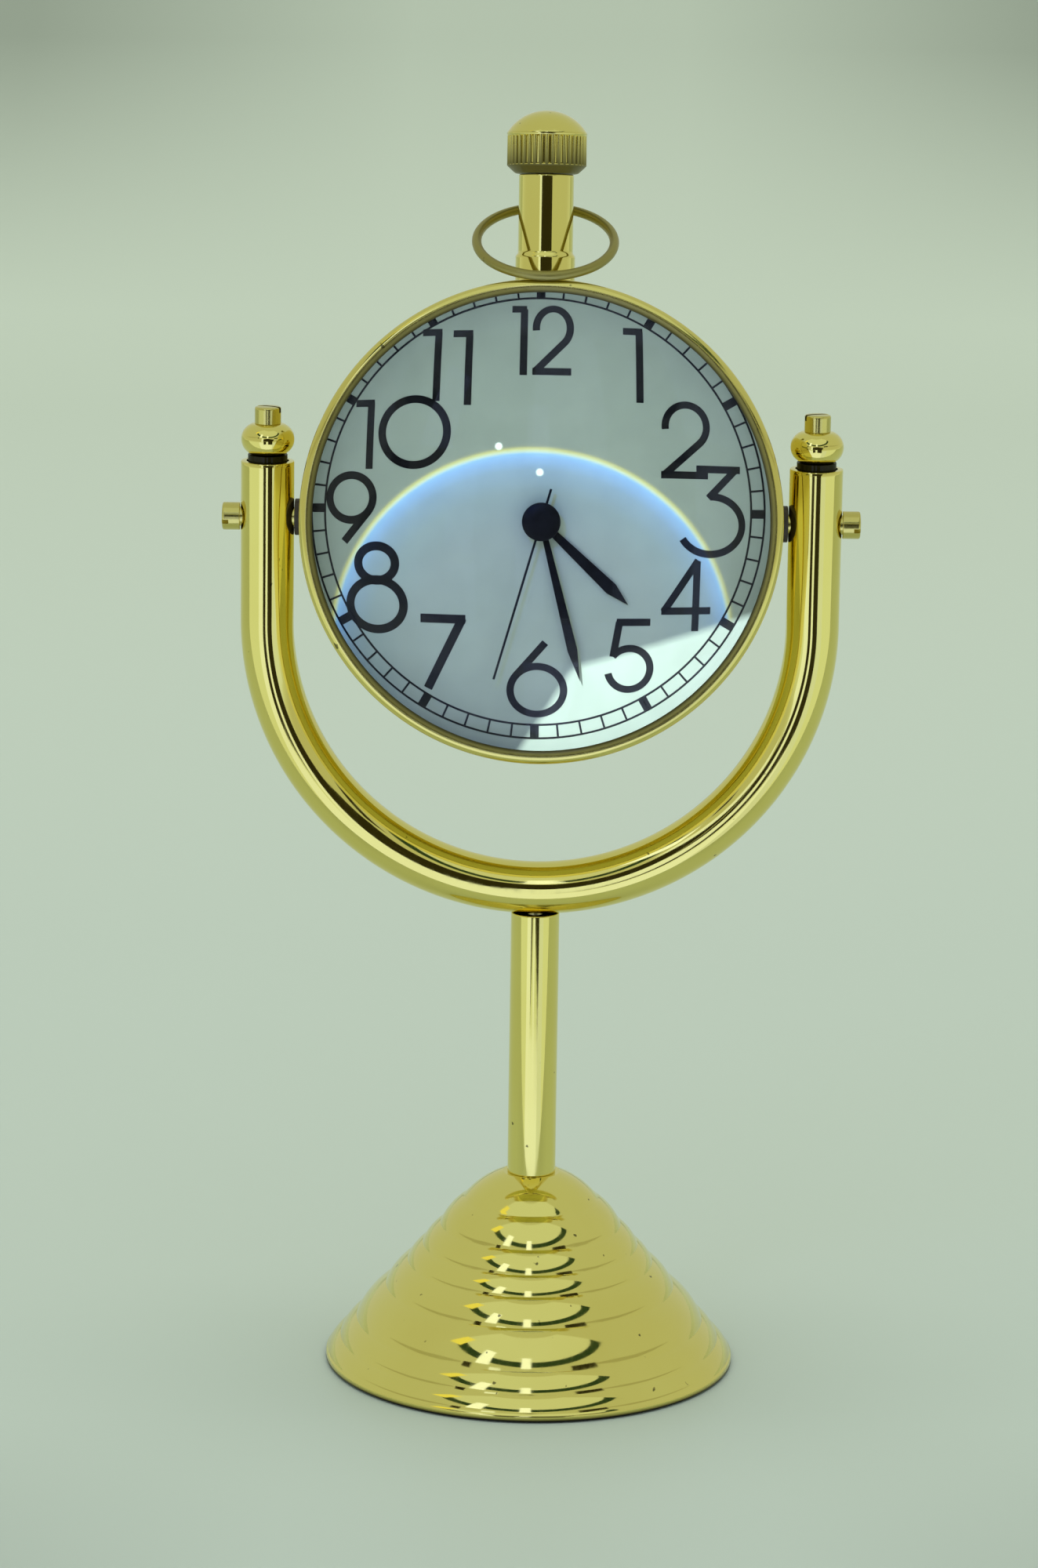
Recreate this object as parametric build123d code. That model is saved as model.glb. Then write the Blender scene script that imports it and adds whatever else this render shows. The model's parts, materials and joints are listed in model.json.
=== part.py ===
from build123d import *
import os
from math import asin, atan2, cos, degrees, radians, sin, sqrt

# Swivelling table clock: a pocket-watch head with a thick magnifying lens, held between
# the posts of a bent tube yoke on a spun, ridged base. Millimetres, +Z up, dial towards -Y,
# origin at the middle of the base's underside.

# Driving dimensions of the stand
base_radius = 31.0
base_height = 29.6
stem_radius = 3.65
stem_length = 40.4
tube_radius = 3.95
tube_wall = 0.8
yoke_drop = 15.45
post_rise = 8.4

# Driving dimensions of the head
case_radius = 35.4
case_side_gap = 1.15
case_wall = 0.8
bezel_front = 12.4
lens_dome = 10.0
neck_radius = 4.05
neck_length = 15.5
crown_radius = 5.9
crown_height = 9.3
bow_radius = 10.1
bow_wire = 0.7
head_tilt = 9.0

# Clearances
running_gap = 0.05
side_play = 0.1
loose_gap = 0.1

# Heights that follow from them
yoke_half = case_radius + case_side_gap + tube_radius
yoke_low = base_height + stem_length
yoke_centre = yoke_low + tube_radius + yoke_half
pivot_height = yoke_centre + yoke_drop
post_top = pivot_height + post_rise

# The head is modelled in its dial frame: +X to 3 o'clock, +Y to 12 o'clock, +Z to the viewer,
# with the swivel axis along X through its origin.
head_place = Pos(0, 0, pivot_height) * Rot(90 - head_tilt, 0, 0)
towards_twelve = Rot(-90, 0, 0)
towards_right = Rot(0, 90, 0)

# Time shown, as turns of the hands in degrees clockwise from 12
hour_angle = 133.0
minute_angle = 165.5
seconds_angle = 196.0

pieces = {}


def rod(radius, low, high, bore=0.0):
    """Cylinder about Z between two heights, with an optional through bore."""
    solid = Pos(0, 0, (low + high) / 2) * Cylinder(radius, high - low)
    if bore:
        solid -= Pos(0, 0, (low + high) / 2) * Cylinder(bore, high - low)
    return solid


def block(x_range, y_range, z_range):
    """Box between pairs of limits."""
    sizes = [high - low for low, high in (x_range, y_range, z_range)]
    middle = [(high + low) / 2 for low, high in (x_range, y_range, z_range)]
    return Pos(*middle) * Box(*sizes)


def turned(*edges):
    """Solid of revolution about Z from edges drawn as (radius, height)."""
    return revolve(Plane.XZ * make_face(edges), Axis.Z)


def turned_outline(*points):
    """Solid of revolution about Z from a closed outline of (radius, height) points."""
    return turned(Polyline(*points, close=True))


def dome(radius, edge, apex, foot):
    """Outline of a cylinder from foot to edge under a spherical cap that ends at apex."""
    rise = apex - edge
    sphere = (radius ** 2 + rise ** 2) / (2 * rise)
    half = asin(radius / sphere) / 2
    middle = (sphere * sin(half), apex - sphere * (1 - cos(half)))
    cap = ThreePointArc((radius, edge), middle, (0, apex))
    return cap, Polyline((0, apex), (0, foot), (radius, foot), (radius, edge))


def hexagon_nut(across_flats, low, high, bore):
    """Hexagon nut about Z."""
    outline = RegularPolygon(across_flats / 2, 6, major_radius=False)
    return extrude(Pos(0, 0, low) * outline, high - low) - rod(bore, low, high)


def polar(radius, angle):
    """Point at a radius and an angle in degrees."""
    return radius * cos(radians(angle)), radius * sin(radians(angle))


def repeated_outline(count, profile, phase=0.0):
    """Face whose rim repeats a profile of (radius, share of the pitch) points."""
    pitch = 360 / count
    points = [polar(reach, phase + (i + share) * pitch) for i in range(count) for reach, share in profile]
    return make_face(Polyline(*points, close=True))


def slotted_screw(shank_radius, shank_length, head_radius, head_height):
    """Cheese-head screw about Z, its head sitting on z = 0 and its shank below."""
    slot_width = 0.32 * head_radius
    slot_depth = 0.4 * head_height
    head = rod(head_radius, 0, head_height)
    head = chamfer(head.edges().group_by(Axis.Z)[-1], 0.12 * head_height)
    head -= block((-head_radius, head_radius), (-slot_width / 2, slot_width / 2),
                  (head_height - slot_depth, head_height))
    return head + rod(shank_radius, -shank_length, 0)


# Base

pad_thickness = 0.4
pad_inset = 0.5
sheet = 1.1
rod_radius = 1.5
rim_height = 1.4
rim_edge = 0.3
shelf_radius = 10.2
cap_rise = 4.2
shelf_height = base_height - cap_rise
ridge_edges = (0.0, 0.093, 0.211, 0.428, 0.587, 0.699, 0.828, 1.0)
ridge_bulge = 0.076
cap_step = 0.1
cap_under = base_height - 0.86 * cap_rise
cap_under_radius = 0.51 * shelf_radius
washer_thickness = 0.8
nut_height = 2.4
base_nut_flats = 5.5


def make_base():
    """Spun bell: shallow convex ridges of uneven width from the rim to a small domed cap."""
    rim_radius = base_radius - rim_edge
    slope = Vector(shelf_radius - rim_radius, shelf_height - rim_height)
    outward = Vector(slope.Y, -slope.X).normalized()
    start = Vector(rim_radius, rim_height)
    outline = [Line((base_radius, pad_thickness), (base_radius, rim_height - rim_edge))]
    outline.append(Line((base_radius, rim_height - rim_edge), start))
    for low_share, high_share in zip(ridge_edges, ridge_edges[1:]):
        low = start + slope * low_share
        high = start + slope * high_share
        crest = (low + high) * 0.5 + outward * ridge_bulge * (high - low).length
        outline.append(ThreePointArc(low, crest, high))
    cap_foot = (shelf_radius - cap_step, shelf_height + cap_step)
    cap_top = (1.17 * stem_radius, base_height)
    cap_crest = (0.755 * shelf_radius, base_height - 0.43 * cap_rise)
    outline.append(Line((shelf_radius, shelf_height), cap_foot))
    outline.append(ThreePointArc(cap_foot, cap_crest, cap_top))
    outline.append(Polyline(cap_top, (rod_radius, base_height), (rod_radius, cap_under),
                            (cap_under_radius, cap_under), (base_radius - sheet, pad_thickness),
                            (base_radius, pad_thickness)))
    return turned(*outline)


pieces["base_cone"] = make_base()
pieces["base_pad"] = rod(base_radius - pad_inset, 0, pad_thickness)
washer_low = cap_under - washer_thickness
nut_low = washer_low - nut_height
pieces["base_washer"] = rod(0.88 * cap_under_radius, washer_low, cap_under, rod_radius)
pieces["base_nut"] = hexagon_nut(base_nut_flats, nut_low, washer_low, rod_radius)

# Stem and yoke

rod_tail = 0.8
rod_lead = 2.2
stem_sink = 0.25
screw_radius = 1.45
tube_bore = tube_radius - tube_wall


def make_yoke(outer, inner):
    """Tube bent to a half circle with two straight posts; inner of 0 gives the solid form."""
    section = Pos(yoke_half, 0, yoke_centre) * Circle(outer)
    if inner:
        section -= Pos(yoke_half, 0, yoke_centre) * Circle(inner)
    yoke = revolve(section, Axis((0, 0, yoke_centre), (0, 1, 0)), 180)
    for side in (-1, 1):
        yoke += Pos(side * yoke_half, 0, 0) * rod(outer, yoke_centre, post_top, inner)
    return yoke


pivot_hole = screw_radius + running_gap
yoke_tube = make_yoke(tube_radius, tube_bore)
yoke_tube -= rod(rod_radius, yoke_low - 1, yoke_low + 2 * tube_wall)
yoke_tube -= Pos(0, 0, pivot_height) * towards_right * rod(pivot_hole, -1.2 * yoke_half, 1.2 * yoke_half)
pieces["yoke_tube"] = yoke_tube
pieces["tie_rod"] = rod(rod_radius, nut_low - rod_tail, yoke_low + rod_lead)
stem = rod(stem_radius, base_height, yoke_low + stem_sink, stem_radius - tube_wall)
pieces["stem_tube"] = stem - make_yoke(tube_radius, 0)

# Finials on the posts

plug_depth = 4.6
groove_radius = 0.74 * tube_radius
groove_height = 0.9
bead_height = 4.6
finial_shank = 1.1
finial_head = 1.95
finial_head_height = 2.6


def make_bead():
    """Flattened ball with a flat seat above and below."""
    flat = 0.58 * tube_radius
    low = post_top + groove_height
    high = low + bead_height
    side = ThreePointArc((flat, low), (tube_radius, (low + high) / 2), (flat, high))
    seats = Polyline((flat, high), (finial_shank, high), (finial_shank, low), (flat, low))
    return turned(side, seats)


finial_seat = post_top + groove_height + bead_height
finial_shank_length = bead_height + groove_height + 0.7 * plug_depth
for name, side in (("left", -1), ("right", 1)):
    post = Pos(side * yoke_half, 0, 0)
    plug = rod(tube_bore, post_top - plug_depth, post_top) + rod(groove_radius, post_top, post_top + groove_height)
    plug -= rod(finial_shank, finial_seat - finial_shank_length, finial_seat)
    screw = slotted_screw(finial_shank, finial_shank_length, finial_head, finial_head_height)
    pieces[f"post_plug_{name}"] = post * plug
    pieces[f"finial_bead_{name}"] = post * make_bead()
    pieces[f"finial_screw_{name}"] = post * Pos(0, 0, finial_seat) * Rot(0, 0, 20 * side) * screw

# Case of the head: levels along the dial axis, front positive

bezel_skirt = 0.5
band_outer = case_radius - bezel_skirt
band_inner = band_outer - case_wall
band_front = 8.0
band_back = -10.0
bezel_round = 1.2
lip_radius = case_radius - 2.0
lens_radius = band_inner - loose_gap
lens_back = 7.0
lens_edge = 10.9
dial_front = 3.8
dial_thickness = 0.4
dial_back = dial_front - dial_thickness
dial_radius = band_inner - 0.7
holder_back = -5.5
cover_thickness = 1.0
cover_dish = 0.6
cover_flat = 0.826 * band_outer
cover_edge = 0.4
ring_width = 0.9

head_pieces = {}


def make_bezel():
    """Rounded ring that snaps over the band and holds the lens behind a narrow lip."""
    shoulder = bezel_front - bezel_round
    crest = (case_radius - bezel_round * (1 - sin(radians(45))), shoulder + bezel_round * sin(radians(45)))
    arc = ThreePointArc((case_radius, shoulder), crest, (case_radius - bezel_round, bezel_front))
    rest = Polyline((case_radius - bezel_round, bezel_front), (lip_radius, bezel_front - 0.2),
                    (lip_radius, lens_edge + 0.75), (band_inner, lens_edge + 0.1), (band_inner, band_front),
                    (band_outer, band_front), (band_outer, band_front - 2), (case_radius, band_front - 2),
                    (case_radius, shoulder))
    return turned(arc, rest)


def make_lens():
    """Thick plano-convex glass, flat towards the dial."""
    return turned(*dome(lens_radius, lens_edge, lens_edge + lens_dome, lens_back))


spigot_radius = 2.5
band = rod(band_outer, band_back, band_front, band_inner)
band -= towards_twelve * rod(spigot_radius, 0, case_radius + 1)
band -= towards_right * rod(screw_radius, -case_radius - 1, case_radius + 1)
head_pieces["case_band"] = band
head_pieces["front_bezel"] = make_bezel()
head_pieces["lens"] = make_lens()
head_pieces["dial_ring"] = rod(band_inner, dial_front, lens_back, band_inner - ring_width)
cover_back = band_back - cover_thickness
head_pieces["back_cover"] = turned_outline(
    (0, cover_back - cover_dish), (cover_flat, cover_back - cover_dish),
    (band_outer - cover_edge, cover_back), (band_outer, cover_back + cover_edge), (band_outer, band_back),
    (band_inner, band_back), (band_inner, holder_back), (band_inner - case_wall, holder_back),
    (band_inner - case_wall, band_back), (0, band_back))
lip_reach = 0.8
lip_round = 3.2
lip = Pos(0, lip_round - band_outer - lip_reach, 0) * rod(lip_round, cover_back + cover_edge, band_back)
head_pieces["back_cover"] += lip

# Pivot screws, washers and nuts on the swivel axis

post_face = yoke_half + tube_radius
screw_head_height = 2.7
screw_head = 2.05
pivot_washer = 2.7
nut_flats = 5.5
nut_thickness = 2.2
nut_face = sqrt(band_inner ** 2 - (nut_flats / sqrt(3)) ** 2)
pivot_shank = post_face + side_play - (nut_face - nut_thickness) + 0.3
washer_outer = yoke_half - tube_radius - side_play
for name, side in (("left", -1), ("right", 1)):
    turn = Rot(0, 90 * side, 0)
    screw = slotted_screw(screw_radius, pivot_shank, screw_head, screw_head_height)
    screw_seat = Pos(0, 0, post_face + side_play) * Rot(0, 0, 25 * side)
    head_pieces[f"pivot_screw_{name}"] = turn * screw_seat * screw
    head_pieces[f"pivot_washer_{name}"] = turn * rod(pivot_washer, band_outer, washer_outer, screw_radius)
    head_pieces[f"pivot_nut_{name}"] = turn * hexagon_nut(nut_flats, nut_face - nut_thickness, nut_face, screw_radius)

# Pendant neck, setting stem, crown and bow

neck_top = case_radius + neck_length
collar_radius = neck_radius + 0.35
collar_top = case_radius + 4.0
setting_radius = 0.9
setting_bore = setting_radius + side_play
movement_radius = 14.5
setting_end = 0.855 * movement_radius
fork_place = movement_radius + 2.8
fork_thickness = 0.5
groove_width = fork_thickness + 2 * running_gap
groove_depth = 0.35
pull_travel = 1.2
flute_count = 40

neck = rod(neck_radius, 0, neck_top) + rod(collar_radius, 0, collar_top - 0.5)
neck += turned_outline((0, collar_top - 0.5), (collar_radius, collar_top - 0.5), (neck_radius, collar_top),
                       (0, collar_top))
neck = towards_twelve * neck - rod(band_outer, band_back, -band_back)
neck += towards_twelve * rod(spigot_radius, band_inner, band_outer + 1) - rod(band_inner, band_back, -band_back)
head_pieces["pendant_neck"] = neck - towards_twelve * rod(setting_bore, 0, neck_top)


def make_crown():
    """Winding crown: chamfered foot, fluted band and domed top."""
    low = neck_top + loose_gap
    high = low + crown_height
    foot = low + 0.13 * crown_height
    rim = high - 0.405 * crown_height
    dome_foot = rim + 0.05 * crown_height
    crown = turned_outline((0, low), (0.78 * crown_radius, low), (crown_radius, foot), (0, foot))
    flutes = repeated_outline(flute_count, ((0.99 * crown_radius, -0.28), (0.99 * crown_radius, 0.28),
                                            (0.935 * crown_radius, 0.5)))
    crown += extrude(Pos(0, 0, foot) * flutes, rim - foot)
    crown += turned(*dome(crown_radius, dome_foot, high, rim))
    return crown


stem_top = neck_top + 0.6 * crown_height
setting_stem = rod(setting_radius, setting_end, stem_top)
groove_low = fork_place - groove_width / 2
setting_stem -= rod(setting_radius, groove_low, groove_low + groove_width, setting_radius - groove_depth)
head_pieces["setting_stem"] = towards_twelve * setting_stem
head_pieces["crown"] = towards_twelve * (make_crown() - rod(setting_radius, 0, stem_top))

fork = block((-2.0, 2.0), (fork_place - fork_thickness / 2, fork_place + fork_thickness / 2), (-1.7, 1.4))
fork_slot = setting_radius - groove_depth + running_gap
fork -= towards_twelve * rod(fork_slot, 0, case_radius)
fork -= block((-fork_slot, fork_slot), (0, case_radius), (0, 2))
head_pieces["setting_lever"] = fork

bow_reach = bezel_round + bow_wire + loose_gap
bow_lean = 52.0
bow_front_y = case_radius - bezel_round + bow_reach * sin(radians(bow_lean))
bow_front_z = bezel_front - bezel_round + bow_reach * cos(radians(bow_lean))
bow_hinge_z = -(neck_radius + loose_gap + bow_wire)
bow_hinge_y = bow_front_y + sqrt((2 * bow_radius) ** 2 - (bow_front_z - bow_hinge_z) ** 2)
bow_slope = degrees(atan2(bow_hinge_y - bow_front_y, bow_front_z - bow_hinge_z))
bow = towards_twelve * Torus(bow_radius, bow_wire)
bow = Rot(bow_slope, 0, 0) * Pos(0, 0, bow_radius) * bow
head_pieces["bow"] = Pos(0, bow_hinge_y, bow_hinge_z) * bow

# Dial and movement holder

plate_front = 1.2
plate_back = 0.0
bridge_front = -4.0
bridge_back = -5.0
board_back = -5.6
dial_hole = 1.7

head_pieces["dial"] = rod(dial_radius, dial_back, dial_front, dial_hole)
holder = rod(band_inner, holder_back, dial_back, movement_radius - 0.35)
holder -= rod(movement_radius, plate_back, dial_back)
holder -= towards_twelve * rod(setting_bore, 0, case_radius)
holder -= block((-2.4, 2.4), (fork_place - 1.5, fork_place + pull_travel + 1.5), (-2.1, dial_back))
pocket = nut_flats / sqrt(3) + 0.6
for side in (-1, 1):
    holder -= Pos(side * band_inner, 0, 0) * Box(2 * nut_thickness + 3, 2 * pocket, 2 * dial_back)
relief_count = 8
relief_radius = 4.2
relief_ring = (movement_radius + band_inner) / 2
for i in range(relief_count):
    centre = polar(relief_ring, 360 * (i + 0.5) / relief_count)
    holder -= Pos(*centre, 0) * rod(relief_radius, holder_back, dial_back - 1.2)
head_pieces["movement_holder"] = holder

# Train: axes in the dial plane, tooth counts, modules and levels behind the plate

arbor_radius = 0.45
pivot_radius = 0.3
pivot_length = 0.6
wheel_thickness = 0.4
pinion_teeth = 8
seconds_teeth = 40
third_teeth = 60
centre_teeth = 64
intermediate_teeth = 48
cannon_teeth = 10
minute_teeth = 30
hour_teeth = 32
setting_teeth = 20
third_module = movement_radius / 72.5
centre_module = third_module * (pinion_teeth + third_teeth) / (pinion_teeth + centre_teeth)
seconds_module = movement_radius / 50
rotor_module = movement_radius / 72.5
motion_module = movement_radius / 58
third_heading = 200.0
intermediate_heading = 20.0
rotor_heading = -60.0
minute_heading = 50.0
third_distance = third_module * (pinion_teeth + third_teeth) / 2
intermediate_distance = seconds_module * (pinion_teeth + seconds_teeth) / 2
rotor_distance = rotor_module * (pinion_teeth + intermediate_teeth) / 2
minute_distance = motion_module * (cannon_teeth + minute_teeth) / 2
setting_distance = motion_module * (minute_teeth + setting_teeth) / 2
third_axis = polar(third_distance, third_heading)
intermediate_axis = polar(intermediate_distance, intermediate_heading)
rotor_step = polar(rotor_distance, rotor_heading)
rotor_axis = (intermediate_axis[0] + rotor_step[0], intermediate_axis[1] + rotor_step[1])
minute_axis = polar(minute_distance, minute_heading)
setting_axis = (0.0, minute_axis[1] + sqrt(setting_distance ** 2 - minute_axis[0] ** 2))
setting_heading = degrees(atan2(setting_axis[1] - minute_axis[1], -minute_axis[0]))
centre_level = plate_back - 0.7
third_level = plate_back - 1.7
seconds_level = plate_back - 2.7
rotor_level = plate_back - 3.7
minute_level = plate_front + 0.3
hour_level = plate_front + 1.1


def toothed(teeth, module, low, high, phase=0.0):
    """Toothed disc about Z; its first tooth points along the phase angle."""
    root = module * (teeth / 2 - 1.1)
    tip = module * (teeth / 2 + 0.85)
    outline = repeated_outline(teeth, ((root, -0.28), (tip, -0.11), (tip, 0.11), (root, 0.28)), phase)
    return extrude(Pos(0, 0, low) * outline, high - low)


def mating_phase(heading, teeth, phase, mate_teeth):
    """Phase of a wheel that meets another wheel lying in the direction of heading from it."""
    lead = (heading - phase) % (360 / teeth)
    return heading + 180 + lead * teeth / mate_teeth - 180 / mate_teeth


def wheel(teeth, module, level, phase=0.0, windows=0):
    """Thin train wheel, with round windows between hub and rim on the larger ones."""
    disc = toothed(teeth, module, level, level + wheel_thickness, phase)
    rim = module * teeth / 2
    for i in range(windows):
        disc -= Pos(*polar(0.56 * rim, 360 * i / windows), 0) * rod(0.22 * rim, level, level + wheel_thickness)
    return disc


def pinion(module, level, phase=0.0, teeth=pinion_teeth):
    """Leaf pinion a little wider than the wheel that it meets."""
    return toothed(teeth, module, level - 0.1, level + wheel_thickness + 0.1, phase)


def arbor():
    """Plain arbor between plate and bridge, with a pivot at each end."""
    front = plate_back - side_play
    back = bridge_front + side_play
    body = rod(arbor_radius, back, front)
    return body + rod(pivot_radius, back - pivot_length, front + pivot_length)


seconds_arbor = 0.4
cannon_bore = seconds_arbor + running_gap
cannon_radius = 0.85
hour_bore = cannon_radius + side_play
hour_tube = 1.4
hour_hand_low = dial_front + 0.3
hand_thickness = 0.25
minute_hand_low = hour_hand_low + 0.7
seconds_hand_low = minute_hand_low + 0.75
hub_top = lens_back - 0.55

third_phase = mating_phase(third_heading, pinion_teeth, 0, third_teeth)
centre_phase = mating_phase(third_heading + 180, pinion_teeth, 0, centre_teeth)
intermediate_phase = mating_phase(intermediate_heading, seconds_teeth, 0, pinion_teeth)
rotor_phase = mating_phase(rotor_heading, intermediate_teeth, 0, pinion_teeth)
minute_phase = mating_phase(minute_heading, cannon_teeth, 0, minute_teeth)
hour_phase = mating_phase(minute_heading + 180, pinion_teeth, 0, hour_teeth)
setting_phase = mating_phase(setting_heading, minute_teeth, minute_phase, setting_teeth)

seconds = wheel(seconds_teeth, seconds_module, seconds_level, windows=5)
seconds += pinion(third_module, third_level) + rod(seconds_arbor, bridge_front + side_play, seconds_hand_low)
seconds += rod(pivot_radius, bridge_front + side_play - pivot_length, bridge_front + side_play)
head_pieces["seconds_wheel"] = seconds

third = wheel(third_teeth, third_module, third_level, third_phase, 5) + pinion(centre_module, centre_level) + arbor()
head_pieces["third_wheel"] = Pos(*third_axis, 0) * third

centre = wheel(centre_teeth, centre_module, centre_level, centre_phase, 5)
centre += rod(cannon_radius, centre_level, minute_hand_low)
centre += rod(1.4, centre_level + wheel_thickness, plate_back - side_play)
centre += pinion(motion_module, minute_level, 0, cannon_teeth)
head_pieces["centre_wheel"] = centre - rod(cannon_bore, centre_level, minute_hand_low)

intermediate = wheel(intermediate_teeth, rotor_module, rotor_level, 0, 5)
intermediate += pinion(seconds_module, seconds_level, intermediate_phase) + arbor()
head_pieces["intermediate_wheel"] = Pos(*intermediate_axis, 0) * intermediate

magnet_radius = 1.2
magnet_back = plate_back - 2.7
magnet_front = plate_back - 1.2
rotor = pinion(rotor_module, rotor_level, rotor_phase) + rod(magnet_radius, magnet_back, magnet_front) + arbor()
head_pieces["motor_rotor"] = Pos(*rotor_axis, 0) * rotor

stud_radius = 0.5
stud_front = dial_back - 0.25
stud_bore = stud_radius + running_gap
minute = wheel(minute_teeth, motion_module, minute_level, minute_phase)
minute += toothed(pinion_teeth, motion_module, minute_level + wheel_thickness, hour_level + wheel_thickness + 0.1)
head_pieces["minute_wheel"] = Pos(*minute_axis, 0) * (minute - rod(stud_bore, plate_front, dial_back))

hour = wheel(hour_teeth, motion_module, hour_level, hour_phase) + rod(hour_tube, hour_level, hour_hand_low)
head_pieces["hour_wheel"] = hour - rod(hour_bore, hour_level, hour_hand_low)

setting = wheel(setting_teeth, motion_module, minute_level, setting_phase)
head_pieces["setting_wheel"] = Pos(*setting_axis, 0) * (setting - rod(stud_bore, plate_front, dial_back))

# Hands

hour_reach = 16.2
hour_widths = (0.7, 1.6)
hour_hub = 2.2
minute_reach = 22.4
minute_widths = (0.6, 1.2)
minute_hub = 1.9
seconds_reach = 22.6
seconds_tail = 4.6
needle_half = 0.16
hub_radius = 2.45
hub_edge = 0.35


def make_hand(reach, widths, low, hub, bore):
    """Lance-shaped hand that widens towards its point, pressed on a tube or arbor."""
    root_width, full_width = widths
    widest = 0.8 * reach
    outline = Polyline((-root_width / 2, 0), (-full_width / 2, widest), (0, reach), (full_width / 2, widest),
                       (root_width / 2, 0), close=True)
    blade = extrude(Pos(0, 0, low) * make_face(outline), hand_thickness)
    return blade + rod(hub, low, low + hand_thickness) - rod(bore, low, low + hand_thickness)


hour_hand = make_hand(hour_reach, hour_widths, hour_hand_low, hour_hub, hour_bore)
minute_hand = make_hand(minute_reach, minute_widths, minute_hand_low, minute_hub, cannon_bore)
hub_low = seconds_hand_low + hand_thickness
needle = block((-needle_half, needle_half), (-seconds_tail, seconds_reach), (seconds_hand_low, hub_low))
hub_cap = turned_outline((0, hub_low), (hub_radius, hub_low), (hub_radius, hub_low + hub_edge),
                         (0.8 * hub_radius, hub_top), (0, hub_top))
head_pieces["hour_hand"] = Rot(0, 0, -hour_angle) * hour_hand
head_pieces["minute_hand"] = Rot(0, 0, -minute_angle) * minute_hand
head_pieces["seconds_hand"] = Rot(0, 0, -seconds_angle) * needle
head_pieces["hub_cap"] = hub_cap

# Plate, bridge, motor and battery

pillar_radius = 0.9
pillar_ring = movement_radius - 1.3
pillar_headings = (60.0, 140.0, 250.0)
coil_radius = 1.3
coil_row = -0.655 * movement_radius
coil_span = (0.131 * movement_radius, 0.559 * movement_radius)
stator_front = plate_back - 1.8
stator_back = plate_back - 2.2
core_ends = ((0.041 * movement_radius, coil_row), (0.62 * movement_radius, coil_row))
core_width = 1.2
leg_width = 1.8
pole_width = 5.2
pole_drop = 0.6

plate = rod(movement_radius, plate_back, plate_front, cannon_radius + running_gap)
for axis in (minute_axis, setting_axis):
    plate += Pos(*axis, 0) * rod(stud_radius, plate_front, stud_front)
for heading in pillar_headings:
    plate += Pos(*polar(pillar_ring, heading), 0) * rod(pillar_radius, bridge_front, plate_back)
for end in core_ends:
    plate += Pos(*end, 0) * rod(pillar_radius, stator_front, plate_back)
plate -= block((-1.3, 1.3), (setting_end - 0.4, movement_radius + 1), (plate_back, plate_front))
bridge = rod(movement_radius - 0.5, bridge_back, bridge_front)
for axis in (third_axis, intermediate_axis, rotor_axis):
    plate -= Pos(*axis, 0) * rod(pivot_radius + running_gap, plate_back, plate_front)
for axis in ((0.0, 0.0), third_axis, intermediate_axis, rotor_axis):
    bridge -= Pos(*axis, 0) * rod(pivot_radius + running_gap, bridge_back, bridge_front)
head_pieces["main_plate"] = plate
head_pieces["train_bridge"] = bridge


def stator_bar(start, end, width):
    """Flat bar with round ends at the stator's level."""
    length = sqrt((end[0] - start[0]) ** 2 + (end[1] - start[1]) ** 2)
    turn = degrees(atan2(end[1] - start[1], end[0] - start[0]))
    outline = SlotCenterToCenter(length, width)
    middle = ((start[0] + end[0]) / 2, (start[1] + end[1]) / 2, stator_back)
    return extrude(Pos(*middle) * Rot(0, 0, turn) * outline, stator_front - stator_back)


pole_left = (rotor_axis[0] - 4 * pole_drop, rotor_axis[1] - pole_drop)
pole_right = (rotor_axis[0] + 2.33 * pole_drop, rotor_axis[1] - pole_drop)
stator = stator_bar(core_ends[0], core_ends[1], core_width) + stator_bar(core_ends[0], pole_left, leg_width)
stator += stator_bar(core_ends[1], pole_right, leg_width) + stator_bar(pole_left, pole_right, pole_width)
stator -= Pos(*rotor_axis, 0) * rod(magnet_radius + 0.35, stator_back, stator_front)
head_pieces["motor_stator"] = stator
coil = Pos(0, coil_row, (stator_front + stator_back) / 2) * towards_right * rod(coil_radius, *coil_span)
head_pieces["motor_coil"] = coil - stator

board_radius = 0.862 * movement_radius
head_pieces["circuit_board"] = rod(board_radius, board_back, bridge_back)
battery_radius = 0.4 * movement_radius
battery_height = 2.1
battery_place = (-0.276 * movement_radius, 0.0)
battery_back = board_back - battery_height
strap = 0.3
strap_half = 1.5
strap_reach = battery_radius + 3 * strap
head_pieces["battery_cell"] = Pos(*battery_place, 0) * rod(battery_radius, battery_back, board_back)
clip = block((-strap_reach, strap_reach), (-strap_half, strap_half), (battery_back - strap, board_back))
clip -= block((strap - strap_reach, strap_reach - strap), (-strap_half, strap_half), (battery_back, board_back))
head_pieces["battery_clip"] = Pos(*battery_place, 0) * clip
can_radius = 1.0
can_length = 6.0
can_place = (0.56 * board_radius, 0.24 * board_radius)
can = Pos(0, 0, board_back - can_radius) * towards_twelve * rod(can_radius, -can_length / 2, can_length / 2)
head_pieces["quartz_can"] = Pos(*can_place, 0) * can

for name, piece in head_pieces.items():
    pieces[name] = head_place * piece

os.makedirs("parts", exist_ok=True)
for name, piece in pieces.items():
    export_step(piece, f"parts/{name}.step")
print(len(pieces), "pieces")
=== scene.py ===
import bpy
import json
from math import acos, asin, atan2, cos, pi, radians, sin, sqrt
from mathutils import Matrix, Vector


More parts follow.
